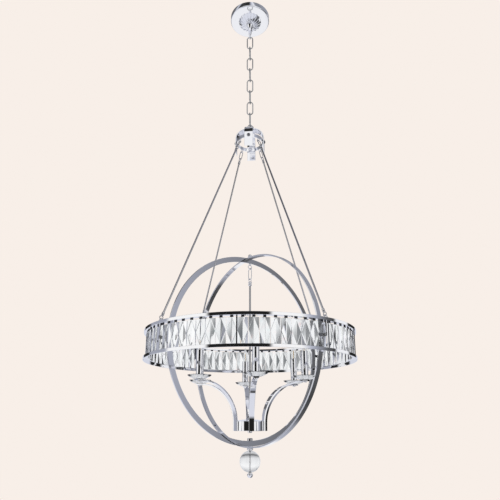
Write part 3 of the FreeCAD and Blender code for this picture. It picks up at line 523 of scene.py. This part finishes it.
# The camera sees plain paper. The object sees a studio of white and grey walls and black cards.
def makeWorld(s):
    world = bpy.data.worlds.new("studio")
    bpy.context.scene.world = world
    world.use_nodes = True
    tree = world.node_tree
    tree.nodes.clear()
    place = addNode(tree, "ShaderNodeTexCoord").outputs["Generated"]
    split = addNode(tree, "ShaderNodeSeparateXYZ", {0: place}).outputs
    level = split["Z"]
    compass = maths(tree, "ARCTAN2", split["Y"], split["X"])
    turn = ranged(tree, compass, -pi, pi)
    colour = compassTones(tree, turn, s["walls"], s["violet"])
    for heights, stops in s["zones"]:
        tones = compassTones(tree, turn, stops, s["violet"])
        colour = mixed(tree, ranged(tree, level, *heights), colour, tones)

    path = addNode(tree, "ShaderNodeLightPath").outputs
    slats = slatScreen(tree, screen, place, compass, level, path["Is Singular Ray"])
    room, behindGlass, plain = [
        addNode(tree, "ShaderNodeBackground", {"Color": seen}).outputs[0]
        for seen in (colour, slats, (*paper, 1))
    ]
    seen = mixedShaders(tree, path["Is Transmission Ray"], room, behindGlass)
    seen = mixedShaders(tree, path["Is Camera Ray"], seen, plain)
    addNode(tree, "ShaderNodeOutputWorld", {0: seen})


stage = {
    "floorReach": 6.0,  # metres from the axis
    "floorDrop": 700,
    "floorTint": (0.82, 0.80, 0.80),
    "lampAim": (0, 0, -1.4),
    "lampSize": 2.0,
    "lamps": (
        ("keyLight", (-2.6, -2.2, 0.4), 45),
        ("fillLight", (2.6, -1.6, -0.6), 22),
    ),
}


def makeStage(s):
    reach = s["floorReach"]
    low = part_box("end_knob")[0][2] - s["floorDrop"] * mm
    mesh = bpy.data.meshes.new("floor")
    corners = [(-reach, -reach), (reach, -reach), (reach, reach), (-reach, reach)]
    mesh.from_pydata([(x, y, low) for x, y in corners], [], [(0, 1, 2, 3)])
    floor = bpy.data.objects.new("floor", mesh)
    bpy.context.scene.collection.objects.link(floor)
    material, tree, shader = newMaterial("paperFloor")
    feed(tree, shader, {
        "Base Color": (*s["floorTint"], 1),
        "Roughness": ranged(tree, objectNoise(tree, 3.0), 0, 1, 0.7, 0.8)})
    plain = addNode(tree, "ShaderNodeEmission", {"Color": (*paper, 1)}).outputs[0]
    path = addNode(tree, "ShaderNodeLightPath").outputs
    seen = mixedShaders(tree, path["Is Camera Ray"], shader.outputs[0], plain)
    feed(tree, tree.nodes["Material Output"], {"Surface": seen})
    mesh.materials.append(material)
    floor.visible_glossy = floor.visible_transmission = False
    for name, place, power in s["lamps"]:
        data = bpy.data.lights.new(name, "AREA")
        data.size = s["lampSize"]
        data.energy = power
        lamp = bpy.data.objects.new(name, data)
        lamp.location = place
        way = Vector(s["lampAim"]) - Vector(place)
        lamp.rotation_euler = way.to_track_quat("-Z", "Y").to_euler()
        lamp.visible_glossy = lamp.visible_transmission = False
        bpy.context.scene.collection.objects.link(lamp)


makeCamera(camera)
makeWorld(studio)
makeStage(stage)
bpy.context.scene.view_settings.view_transform = "Standard"
print("camera and stage set")


chain = {"count": 8, "length": 64.3, "width": 28, "wire": 4.5, "gap": 0.3, "turn": 45}
chainPitch = chain["length"] - 2 * chain["wire"] - chain["gap"]
loopRadius = chain["width"] / 2 - chain["wire"]


def makeChain(s):
    link = sweep(stadium(s["length"], s["width"], s["wire"], 14), s["wire"] / 2, 16)
    reach = (s["length"] - s["wire"]) / 2
    for k in range(s["count"]):
        top = -canopy["neckDrop"] - k * chainPitch + s["wire"] + s["gap"]
        turn = s["turn"] + 90 * ((k + 1) % 2)
        shape = placed(link, (0, 0, top - reach), turn)
        piece(f"chainLink{k + 1}", f"chain_link_{k + 1}", shape, chainPaintedShadeChrome)


canopy = {
    "radius": 84, "depth": 22, "wall": 1.2, "corner": 3, "lip": 0.6, "bore": 5.05,
    "domeRadius": 48, "domeDepth": 18, "domeWall": 3, "waist": 0.72, "waistDepth": 0.62,
    "flutes": 20, "fluteRadius": 1.95,
    "neckTop": 14, "neckStep": (1, 3), "neckPinch": 2.4, "neckEnd": 6.5, "neckDrop": 108,
    "neckRound": (0.5, 0.8),
}


def makeCanopy(s):
    r, d, w, lip, bore = s["radius"], s["depth"], s["wall"], s["lip"], s["bore"]
    corner, bend = (r - s["corner"], -d + s["corner"]), s["corner"]
    pan = [(bore, -d)] + arc(corner, bend, -90, 0, 6) + [(r, -lip), (r - lip / 2, 0), (r - w, 0)]
    pan += arc(corner, bend - w, 0, -90, 6) + [(bore, -d + w)]
    piece("canopyPan", "canopy_pan", lathe(pan, 128), polishedChrome)

    foot, neck, shell = s["domeRadius"], s["neckTop"], s["domeWall"]
    low = -d - s["domeDepth"]
    waist = foot * s["waist"] + neck * (1 - s["waist"])
    level = -d - s["domeDepth"] * s["waistDepth"]
    outer = through((foot, -d - w), (waist, level), (neck, low), 12)
    top = (foot - shell, -d)
    inner = through((neck - shell, low + shell), (waist - shell, level + shell), top, 12)
    dome = lathe([(foot, -d)] + outer + [(bore, low), (bore, low + shell)] + inner, 96)
    piece("canopyDome", "canopy_dome", dome, polishedChrome)
    flute = sweep([(x, 0, z) for x, z in outer], s["fluteRadius"], 12, False)
    finished("canopyFlutes", "canopy_dome", flute, polishedChrome, (s["flutes"], 0))

    centre = -s["neckDrop"] + loopRadius
    end, tip = centre + loopRadius, s["neckEnd"]
    step, fall = s["neckStep"]
    middle = ((neck + tip) / 2 - s["neckPinch"], (low + end) / 2)
    horn = [(0, low), (neck, low)] + through((neck - step, low - fall), middle, (tip, end), 14)
    step, fall = s["neckRound"]
    horn += [(tip - step, end - fall), (0, end - fall)]
    loop = placed(eye(loopRadius, chain["wire"]), (0, 0, centre), chain["turn"])
    piece("canopyNeck", "canopy_neck", joined(lathe(horn, 48, False), loop), polishedChrome)


makeCanopy(canopy)
makeChain(chain)
print("canopy and chain made")


rodEye = {"radius": 6, "wire": 3, "gap": 0.3}  # at the ends of rods, links and stem
hub = {
    "span": 58, "height": 104, "width": 34, "thick": 3, "bend": 44, "edge": 0.5,
    "hair": 0.03, "ringHeight": 14, "ringWall": 4, "ringGap": 0.05,
    "knobDrop": 57, "knobRadius": 7, "knobHeight": 5.5, "knobEdge": 1.2, "knobEase": 0.3,
    "shank": 2.5, "shankLength": 6.9,
    "collarStep": 4, "collarEdge": 2, "boltEase": 0.5, "boltEnd": 5,
}
hubEye = (hub["span"] - hub["thick"] - hub["ringWall"] / 2,
          hubTop - hub["knobDrop"] - hub["ringHeight"] / 2 - rodEye["radius"])


def makeHub(s):
    span, thick, bend = s["span"], s["thick"], s["bend"]
    foot, corner = hubTop - s["height"], (span - bend, hubTop - bend)
    inner = arc(corner, bend - thick, 90, 0, 20) + [(span - thick, foot)]
    outer = arc(corner, bend, 90, 0, 20) + [(span, foot)]
    inner, outer = [[(-x, z) for x, z in reversed(line)] + line for line in (inner, outer)]
    strap = band(inner, outer, s["width"], s["edge"])
    crossing = placed(strap, (0, 0, -s["hair"]), 90)  # so that no two faces coincide
    straps = placed(joined(strap, crossing), turn=45)
    piece("upperHub", "upper_hub", straps, polishedChrome, smooth=30)

    level = hubTop - s["knobDrop"]
    low, high = level - s["ringHeight"] / 2, level + s["ringHeight"] / 2
    out = span - thick - s["ringGap"]
    inn = out - s["ringWall"]
    ring = lathe([(inn, low), (out, low), (out, high), (inn, high)], 96)
    rodHole = placed(eye(rodEye["radius"], rodEye["wire"]), (hubEye[0], 0, hubEye[1]))
    eyes = [placed(rodHole, turn=90 * k) for k in range(4)]
    piece("hubRing", "hub_ring", joined(ring, *eyes), polishedChrome)

    r, ease, shank, length = s["knobRadius"], s["knobEase"], s["shank"], s["shankLength"]
    screw = [(0, -length), (shank, -length), (shank, 0), (r - ease, 0), (r, ease)]
    screw += crown(r, s["knobEdge"], s["knobHeight"])
    screw = placed(placed(lathe(screw, 32, False), turn=90, axis="Y"), (span, 0, level))
    piece("hubScrews", "hub_screws", screw, knobPaintedShadeChrome, (4, 45))

    wire = chain["wire"]
    end = -canopy["neckDrop"] - chain["count"] * chainPitch
    centre = end + wire + chain["gap"] - loopRadius
    low, top = hubTop - thick - s["boltEnd"], centre - loopRadius + wire / 4
    bolt, edge = wire - s["boltEase"], hubTop + s["collarEdge"]
    wide = bolt + s["collarStep"]
    collar = [(0, low), (bolt, low), (bolt, hubTop), (wide, hubTop), (wide, edge)]
    collar += [(bolt, top), (0, top)]
    loop = placed(eye(loopRadius, wire), (0, 0, centre), chain["turn"] + 90)
    piece("hubLoop", "hub_loop", joined(lathe(collar, 32, False), loop), polishedChrome)


drum = {
    "radius": 381, "bandHeight": 10, "wall": 2.5, "ledge": 18, "ledgeThick": 2.5, "edge": 0.4,
    "height": 104, "lift": -1, "posts": 8, "postRadius": 2,
}
drumTop = orbCentre + drum["lift"] + drum["height"] / 2
drumBottom = drumTop - drum["height"]


# An upright flange with a ledge that points inwards, seen with its ledge at z 0.
def bandOutline(s):
    r, w, e = s["radius"], s["wall"], s["edge"]
    ledge, thick, tall = r - s["ledge"], s["ledgeThick"], s["bandHeight"]
    return [(ledge + e, 0), (r - e, 0), (r, e), (r, tall - e), (r - e, tall), (r - w + e, tall),
            (r - w, tall - e), (r - w, thick), (ledge + e, thick), (ledge, thick - e), (ledge, e)]


def makeDrum(s):
    high, low = drumTop - s["bandHeight"], drumBottom + s["bandHeight"]
    outline = bandOutline(s)
    upper = lathe([(x, high + z) for x, z in outline], 288)
    piece("upperBand", "upper_band", upper, polishedChrome, smooth=30)
    lower = lathe([(x, low - z) for x, z in reversed(outline)], 288)
    piece("lowerBand", "lower_band", lower, polishedChrome, smooth=30)
    face, width = s["radius"] - s["wall"], 2 * s["postRadius"]
    post = prism([(face - width, low), (face, low), (face, high), (face - width, high)], width)
    piece("drumPosts", "drum_posts", post, polishedChrome, (s["posts"], 0), smooth=0)


crystal = {
    "count": 72, "gap": 1.4, "bracketGap": 5.4, "depth": 8, "inset": 8, "cut": 1.7, "below": 0.3,
    "clipHeight": 5, "clipWidth": 9, "clipDepth": 4, "clipEdge": 1,
}


# A bar with a ridged diamond on its front and back, its top at the origin.
def crystalBar(s, height, lowGap, highGap):
    back = drum["radius"] - s["inset"] - s["depth"]
    half = back * tan(pi / s["count"])
    low, high = lowGap / 2 - half, half - highGap / 2
    ridge, cut = s["depth"] / 2, s["cut"]
    points, faces = [], []
    for side in (1, -1):
        top, middle, corner = side * ridge, side * (ridge - cut), side * (ridge - 2 * cut)
        points += [
            (top, 0, 0), (top, 0, -height), (middle, low, -height / 2), (middle, high, -height / 2),
            (corner, low, 0), (corner, high, 0), (corner, low, -height), (corner, high, -height),
        ]
    for k in (0, 8):
        faces += [(k, k + 1, k + 2), (k, k + 3, k + 1), (k, k + 2, k + 4), (k, k + 5, k + 3),
                  (k + 1, k + 6, k + 2), (k + 1, k + 3, k + 7)]
    faces += [(4, 0, 5, 13, 8, 12), (6, 1, 7, 15, 9, 14)]  # top and bottom
    faces += [(4, 2, 6, 14, 10, 12), (5, 3, 7, 15, 11, 13)]  # both sides
    return points, faces


def makeCrystals(s):
    top = drumTop - drum["bandHeight"]
    low = top - s["clipHeight"]
    middle = drum["radius"] - s["inset"] - s["depth"] / 2
    height = drum["height"] - 2 * drum["bandHeight"] - s["clipHeight"] - s["below"]
    start, quarter = 180 / s["count"], s["count"] // 4
    bars = []
    for k in range(quarter):
        gaps = [s["bracketGap"] if k == end else s["gap"] for end in (0, quarter - 1)]
        bar = placed(crystalBar(s, height, *gaps), (middle, 0, low))
        bars.append(placed(bar, turn=start * (2 * k + 1)))
    row = piece("crystalBars", "crystal_bars", joined(*bars), cutCrystal, (4, 0), smooth=0)
    row.visible_glossy = False  # polished metal mirrors the studio alone, as in the photograph
    back, front, edge = middle - s["clipDepth"] / 2, middle + s["clipDepth"] / 2, s["clipEdge"]
    outline = [(back, low), (front - edge, low), (front, low + edge), (front, top), (back, top)]
    clip = prism(outline, s["clipWidth"])
    piece("crystalClips", "crystal_clips", clip, blackLacquer, (s["count"], start), smooth=0)


rod = {
    "linkLength": 34, "linkWidth": 15, "radius": 3.2, "ferruleRadius": 4.6, "ferruleLength": 14,
    "ferruleEase": 0.6, "ferruleStart": 2, "eyeNeck": 0.8, "eyeSink": 0.4,
}
lug = {"radius": 2.5, "lift": 12}
ledgeTop = drumTop - drum["bandHeight"] + drum["ledgeThick"]
lugEye = (drum["radius"] - crystal["inset"] - lug["radius"], ledgeTop + lug["lift"])
rodLine = hypot(lugEye[0] - hubEye[0], lugEye[1] - hubEye[1])
rodWay = Vector(((lugEye[0] - hubEye[0]) / rodLine, 0, (lugEye[1] - hubEye[1]) / rodLine))


# Puts a shape whose -Z is its own length on a rod's line, so far below the hub's eye.
def alongRod(shape, distance):
    start = Vector((hubEye[0], 0, hubEye[1])) + rodWay * distance
    tilt = Vector((0, 0, -1)).rotation_difference(rodWay).to_matrix().to_4x4()
    return transformed(shape, Matrix.Translation(start) @ tilt)


def makeRods(s):
    wire, radius, gap = rodEye["wire"], rodEye["radius"], rodEye["gap"]
    reach = s["linkLength"] - wire
    link = placed(sweep(stadium(s["linkLength"], s["linkWidth"], wire), wire / 2), turn=90)
    link = alongRod(link, radius - wire - gap + reach / 2)
    piece("rodLinks", "rod_links", link, paintedShadeChrome, (4, 0))

    topEye = 2 * (radius - wire - gap) + reach
    length = rodLine - 2 * radius + wire + gap - topEye
    r, f, ease, sink = s["radius"], s["ferruleRadius"], s["ferruleEase"], s["eyeSink"]
    start, end = -radius - s["ferruleStart"], -radius - s["ferruleLength"]
    half = [(wire / 2 + s["eyeNeck"], sink - radius), (f - sink, start), (f, start - ease),
            (f, end + ease), (f - ease, end), (r, end)]
    profile = [(0, sink - radius)] + half + [(x, -length - z) for x, z in reversed(half)]
    profile.append((0, -length + radius - sink))
    low = placed(eye(radius, wire), (0, 0, -length))
    shape = alongRod(joined(lathe(profile, 28, False), eye(radius, wire), low), topEye)
    for k in range(4):
        turned = placed(shape, turn=90 * k)
        piece(f"suspensionRod{k + 1}", f"suspension_rod_{k + 1}", turned, paintedShadeChrome)


def makeLugs(s):
    ring = alongRod(placed(eye(rodEye["radius"], rodEye["wire"]), turn=90), rodLine)
    foot = Vector((lugEye[0], 0, lugEye[1])) + rodWay * rodEye["radius"]
    profile = [(0, ledgeTop), (s["radius"], ledgeTop), (s["radius"], foot.z), (0, foot.z)]
    post = placed(lathe(profile, 20, False), (foot.x, 0, 0))
    piece("drumLugs", "drum_lugs", joined(ring, post), polishedChrome, (4, 0))


makeHub(hub)
makeRods(rod)
print("hub and rods made")
makeDrum(drum)
makeLugs(lug)
makeCrystals(crystal)
print("drum and crystals made")


orb = {"radius": 343.8, "width": 19, "thick": 5, "gap": 0.2, "edge": 0.5}
ringInside = orb["radius"] - orb["width"]
hoopInside = orb["radius"] + orb["gap"]
hoopOutside = hoopInside + orb["thick"]


def makeOrb(s):
    e, width, thick = s["edge"], s["width"], s["thick"]
    for name, node, inner, outer, wide, axis in (
        ("orbFlatRing", "orb_flat_ring", ringInside, s["radius"], thick, "X"),
        ("orbHoop", "orb_hoop", hoopInside, hoopOutside, width, "Y"),
    ):
        half = wide / 2
        outline = [(inner, -half + e), (inner + e, -half), (outer - e, -half), (outer, -half + e),
                   (outer, half - e), (outer - e, half), (inner + e, half), (inner, half - e)]
        ring = placed(lathe(outline, 288), (0, 0, orbCentre), 90, axis)
        piece(name, node, ring, polishedChrome, smooth=30)


topKnob = {
    "pin": 2.5, "radius": 7.5, "height": 13, "curve": ((0.7, 0.2), (1, 0.4), (1, 0.55)),
}


def makeTopKnob(s):
    pin, tall, top = s["pin"], s["height"], orbCentre + hoopOutside
    low = top - orb["thick"]
    foot, side, belly = scaled(s["curve"], s["radius"], top, tall)
    knob = [(0, low), (pin, low), (pin, top), (foot[0], top)] + through(foot, side, belly, 4)
    knob += crown(*belly, top + tall)[1:]
    piece("topKnob", "top_knob", lathe(knob, 32, False), polishedChrome)


clusterEye = {"radius": 8, "drop": 14, "neck": 0.8, "step": 3, "play": 0.05}


def makeClusterEye(s):
    inside, wire, step = orbCentre + ringInside, rodEye["wire"], s["step"]
    centre, top = inside - s["drop"], inside - s["play"]
    foot, neck, wide = centre + s["radius"] - wire / 4, wire / 2 + s["neck"], wire / 2 + step
    boss = [(0, foot), (neck, foot), (wide, inside - step), (wide, top), (0, top)]
    ring = placed(eye(s["radius"], wire), (0, 0, centre))
    piece("clusterEye", "cluster_eye", joined(lathe(boss, 32, False), ring), polishedChrome)


finial = {
    "pin": 2.5, "play": 0.05, "seat": 0.1,
    "collarRadius": 11, "collarHeight": 8, "collarCurve": ((0.6, 0), (1, 0.35), (0.62, 0.875)),
    "ballRadius": 36, "capRadius": 9.5, "capHeight": 9, "capEdges": (0.5, 1.5),
    "endRadius": 10, "endHeight": 18, "endCurve": ((0.55, 0.15), (0.92, 0.24), (1, 0.45)),
}


def makeFinial(s):
    pin, hole, top = s["pin"], s["pin"] + s["play"], orbCentre - hoopOutside - s["play"]
    low = top - s["collarHeight"]
    curve = scaled(s["collarCurve"], s["collarRadius"], top, -s["collarHeight"])
    collar = [(hole, top)] + through(*curve, 10) + [(curve[2][0], low), (hole, low)]
    piece("finialCollar", "finial_collar", lathe(collar, 48), polishedChrome)

    ball, seat = s["ballRadius"], s["seat"]
    centre = low - ball
    angles = [pi * k / 48 for k in range(1, 48)]
    profile = [(max(hole, ball * sin(a)), centre + ball * cos(a)) for a in angles]
    profile = [(hole, centre + ball - seat)] + profile + [(hole, centre - ball + seat)]
    piece("finialBall", "finial_ball", lathe(profile, 96), ballCrystal)

    low, high = centre - ball, top + orb["thick"]
    shaft = lathe([(0, low), (pin, low), (pin, high), (0, high)], 24, False)
    r, foot, (e, f) = s["capRadius"], orbCentre - ringInside, s["capEdges"]
    head = foot + s["capHeight"]
    cap = [(0, foot), (r - e, foot), (r, foot + e), (r, head - f), (r - f, head), (0, head)]
    piece("finialRod", "finial_rod", joined(shaft, lathe(cap, 40, False)), paintedShadeChrome)

    tall = s["endHeight"]
    foot, side, belly = scaled(s["endCurve"], s["endRadius"], low, -tall)
    knob = [(0, low), (foot[0], low)] + through(foot, side, belly, 6)
    knob += crown(*belly, low - tall)[1:]
    piece("endKnob", "end_knob", lathe(knob, 40, False), polishedChrome)


makeOrb(orb)
makeTopKnob(topKnob)
makeClusterEye(clusterEye)
makeFinial(finial)
print("orb made")


lowerHub = {
    "radius": 57, "height": 30, "wall": 3, "corner": 1, "clearance": 33.8, "play": 0.05,
    "capHeight": 14, "capWall": 2, "capNeck": 0.22, "capCurve": ((0.26, 0.62), (0.62, 0.45)),
    "nutRadius": 8, "nutHeight": 7, "nutEdge": 2,
}
hubFloor = orbCentre - (ringInside - lowerHub["clearance"])


def makeLowerHub(s):
    r, w, e, low = s["radius"], s["wall"], s["corner"], hubFloor
    top, hole = low + s["height"], stem["radius"] + s["play"]
    cup = [(hole, low), (r - e, low), (r, low + e), (r, top), (r - w, top), (r - w, low + w)]
    cup.append((hole, low + w))
    piece("armHub", "arm_hub", lathe(cup, 96), polishedChrome)

    skin, rise = s["capWall"], s["capHeight"]
    neck, slope = scaled(s["capCurve"], r, top, rise)
    cap = [(hole, neck[1] - skin)]
    cap += through((neck[0], neck[1] - skin), (slope[0], slope[1] - skin), (r - skin, top), 10)
    cap += [(r, top)] + through((r, top + skin), slope, neck, 10)
    cap += [(r * s["capNeck"], top + rise), (hole, top + rise)]
    piece("armHubCap", "arm_hub_cap", lathe(cap, 96), polishedChrome)

    nut, end, edge = s["nutRadius"], low - s["nutHeight"], s["nutEdge"]
    shape = [(hole, low), (nut, low), (nut, end + edge), (nut - edge, end), (hole, end)]
    piece("stemNut", "stem_nut", lathe(shape, 48), polishedChrome)


stem = {
    "linkLength": 48, "linkWidth": 20, "radius": 3.75, "collarRadius": 7, "collarHeight": 16,
    "collarFoot": ((0.75, 0), (1, 0.1875), (0.8, 0.375)),
    "collarHead": ((0.8, 0.625), (1, 0.78125), (0.5, 0.96875)), "eyeNeck": 0.8, "nutGrip": 1,
}


def makeStem(s):
    wire, gap, tall = rodEye["wire"], rodEye["gap"], s["collarHeight"]
    eyeWire = orbCentre + ringInside - clusterEye["drop"] - clusterEye["radius"]
    linkWire = eyeWire + 2 * wire + gap - s["linkLength"]
    middle = linkWire + (s["linkLength"] - wire) / 2
    link = sweep(stadium(s["linkLength"], s["linkWidth"], wire), wire / 2)
    piece("clusterLink", "cluster_link", placed(link, (0, 0, middle), 90), polishedChrome)

    top = linkWire + wire + gap - 2 * rodEye["radius"]
    base, tip = top - tall, top + wire / 4
    collar = [(0, base)]
    for curve in (s["collarFoot"], s["collarHead"]):
        collar += through(*scaled(curve, s["collarRadius"], base, tall), 8)
    collar += [(wire / 2 + s["eyeNeck"], tip), (0, tip)]
    ring = placed(eye(rodEye["radius"], wire), (0, 0, top + rodEye["radius"]))
    piece("stemCollar", "stem_collar", joined(lathe(collar, 32, False), ring), polishedChrome)

    end = hubFloor - lowerHub["nutHeight"] + s["nutGrip"]
    shaft = [(0, end), (s["radius"], end), (s["radius"], base), (0, base)]
    piece("clusterStem", "cluster_stem", lathe(shaft, 32, False), paintedShadeChrome)


arm = {
    "count": 6, "turn": -4, "width": 18.5, "thick": 5, "circle": 207, "flat": 6, "run": 25.5,
    "tail": 12, "edge": 0.6,
}
armLine = lowerHub["radius"] + lowerHub["play"] + arm["thick"] / 2
armBend = arm["circle"] - armLine - arm["flat"]
armTip = hubFloor + arm["run"] + armBend + arm["thick"] / 2


def makeArms(s):
    middle = (armLine + armBend, hubFloor + s["run"])
    lines = []
    for r in (armBend - s["thick"] / 2, armBend + s["thick"] / 2):
        start, end = (middle[0] - r, hubFloor), (s["circle"] + s["tail"], middle[1] + r)
        lines.append([start] + arc(middle, r, 180, 90, 48) + [end])
    shape = band(*lines, s["width"], s["edge"])
    for k in range(s["count"]):
        turned = placed(shape, turn=s["turn"] + 360 * k / s["count"])
        piece(f"arm{k + 1}", f"arm_{k + 1}", turned, polishedChrome, smooth=30)


# Six copies of a turned piece, one on each arm.
def atCandles(name, node, profile, segments, material, closed=True):
    shape = placed(lathe(profile, segments, closed), (arm["circle"], 0, 0))
    piece(name, node, shape, material, (arm["count"], arm["turn"]))


dish = {
    "radius": 40, "rise": 12, "wall": 2.5, "foot": 2, "hole": 3.05, "lip": 0.6,
    "underside": (0.54, 0.36), "hollow": (0.52, 0.42),
}
sleeveFoot = armTip + dish["wall"]


def makeDishes(s):
    low, wall, hole, rim = armTip, s["wall"], s["hole"], s["radius"]
    foot, top = sleeve["radius"] + s["foot"], low + s["rise"]
    below, above = scaled((s["underside"], s["hollow"]), foot + rim, low, s["rise"])
    under = through((foot, low), below, (rim, top), 12)
    above, lip = (above[0], above[1] + wall), (rim, top + wall * s["lip"])
    over = through(lip, above, (foot, low + wall), 12)
    profile = [(hole, low)] + under + over + [(hole, low + wall)]
    atCandles("bobeches", "bobeches", profile, 48, dishGlass)


sleeve = {"radius": 12, "wall": 1, "height": 95, "edge": 0.3}


def makeSleeves(s):
    out, inn, e = s["radius"], s["radius"] - s["wall"], s["edge"]
    low, top = sleeveFoot, sleeveFoot + s["height"]
    tube = [(inn, low), (out, low), (out, top - e), (out - e, top), (inn + e, top), (inn, top - e)]
    atCandles("candleSleeves", "candle_sleeves", tube, 48, polishedChrome)


bulb = {
    "neck": 6.5, "radius": 8.5, "height": 58, "wall": 0.8, "inset": 4, "swell": (0.75, 0.13),
    "curve": ((1, 0.3), (0.78, 0.64), (0.3, 0.93)), "innerWaist": 0.63,
}


def makeBulbs(s):
    neck, wide, skin, tall = s["neck"], s["radius"], s["wall"], s["height"]
    base = sleeveFoot + sleeve["height"] - s["inset"]
    top, inner, (share, level) = base + tall, wide - skin, s["swell"]
    swell = (neck + (wide - neck) * share, base + tall * level)
    shoulder, waist, tip = scaled(s["curve"], wide, base, tall)
    glass = [(neck - skin, base)] + through((neck, base), swell, shoulder, 8)
    glass += through(shoulder, waist, tip, 14)[1:] + crown(*tip, top, 6)[1:]
    hollow = (waist[0] - skin, base + tall * s["innerWaist"])
    glass += [(0, top - skin)]
    glass += through((tip[0] - skin / 2, tip[1] - skin), hollow, (inner, shoulder[1]), 14)
    swell = (swell[0] - skin, swell[1])
    glass += through((inner, shoulder[1]), swell, (neck - skin, base), 8)[1:-1]
    atCandles("bulbs", "bulbs", glass, 32, blownGlass)


armScrew = {"radius": 5.5, "height": 4, "corner": 1, "shank": 3, "rise": 6}


def makeArmScrews(s):
    r, e, shank, under = s["radius"], s["corner"], s["shank"], armTip - arm["thick"]
    low, top = under - s["height"], sleeveFoot + s["rise"]
    head = [(0, low), (r - e, low), (r, low + e), (r, under)]
    shaft = [(shank, under), (shank, top), (0, top)]
    atCandles("armScrews", "arm_screws", head + shaft, 24, polishedChrome, closed=False)


makeStem(stem)
makeLowerHub(lowerHub)
makeArms(arm)
makeDishes(dish)
makeSleeves(sleeve)
makeBulbs(bulb)
makeArmScrews(armScrew)

cadFinishes = {  # nodes whose solid is shown as it is
    "ceiling_strap": zincSteel, "threaded_nipple": plainBrass, "nipple_nuts": plainBrass,
    "hub_loop_nut": polishedChrome, "ring_brackets": blackLacquer, "lamp_sockets": socketPlastic,
    "bulb_bases": plainBrass, "filaments": warmWire,
}
for name, material in cadFinishes.items():
    node = frame["nodes"][name]
    node.data.materials.clear()
    node.data.materials.append(material)
print("candle cluster made")
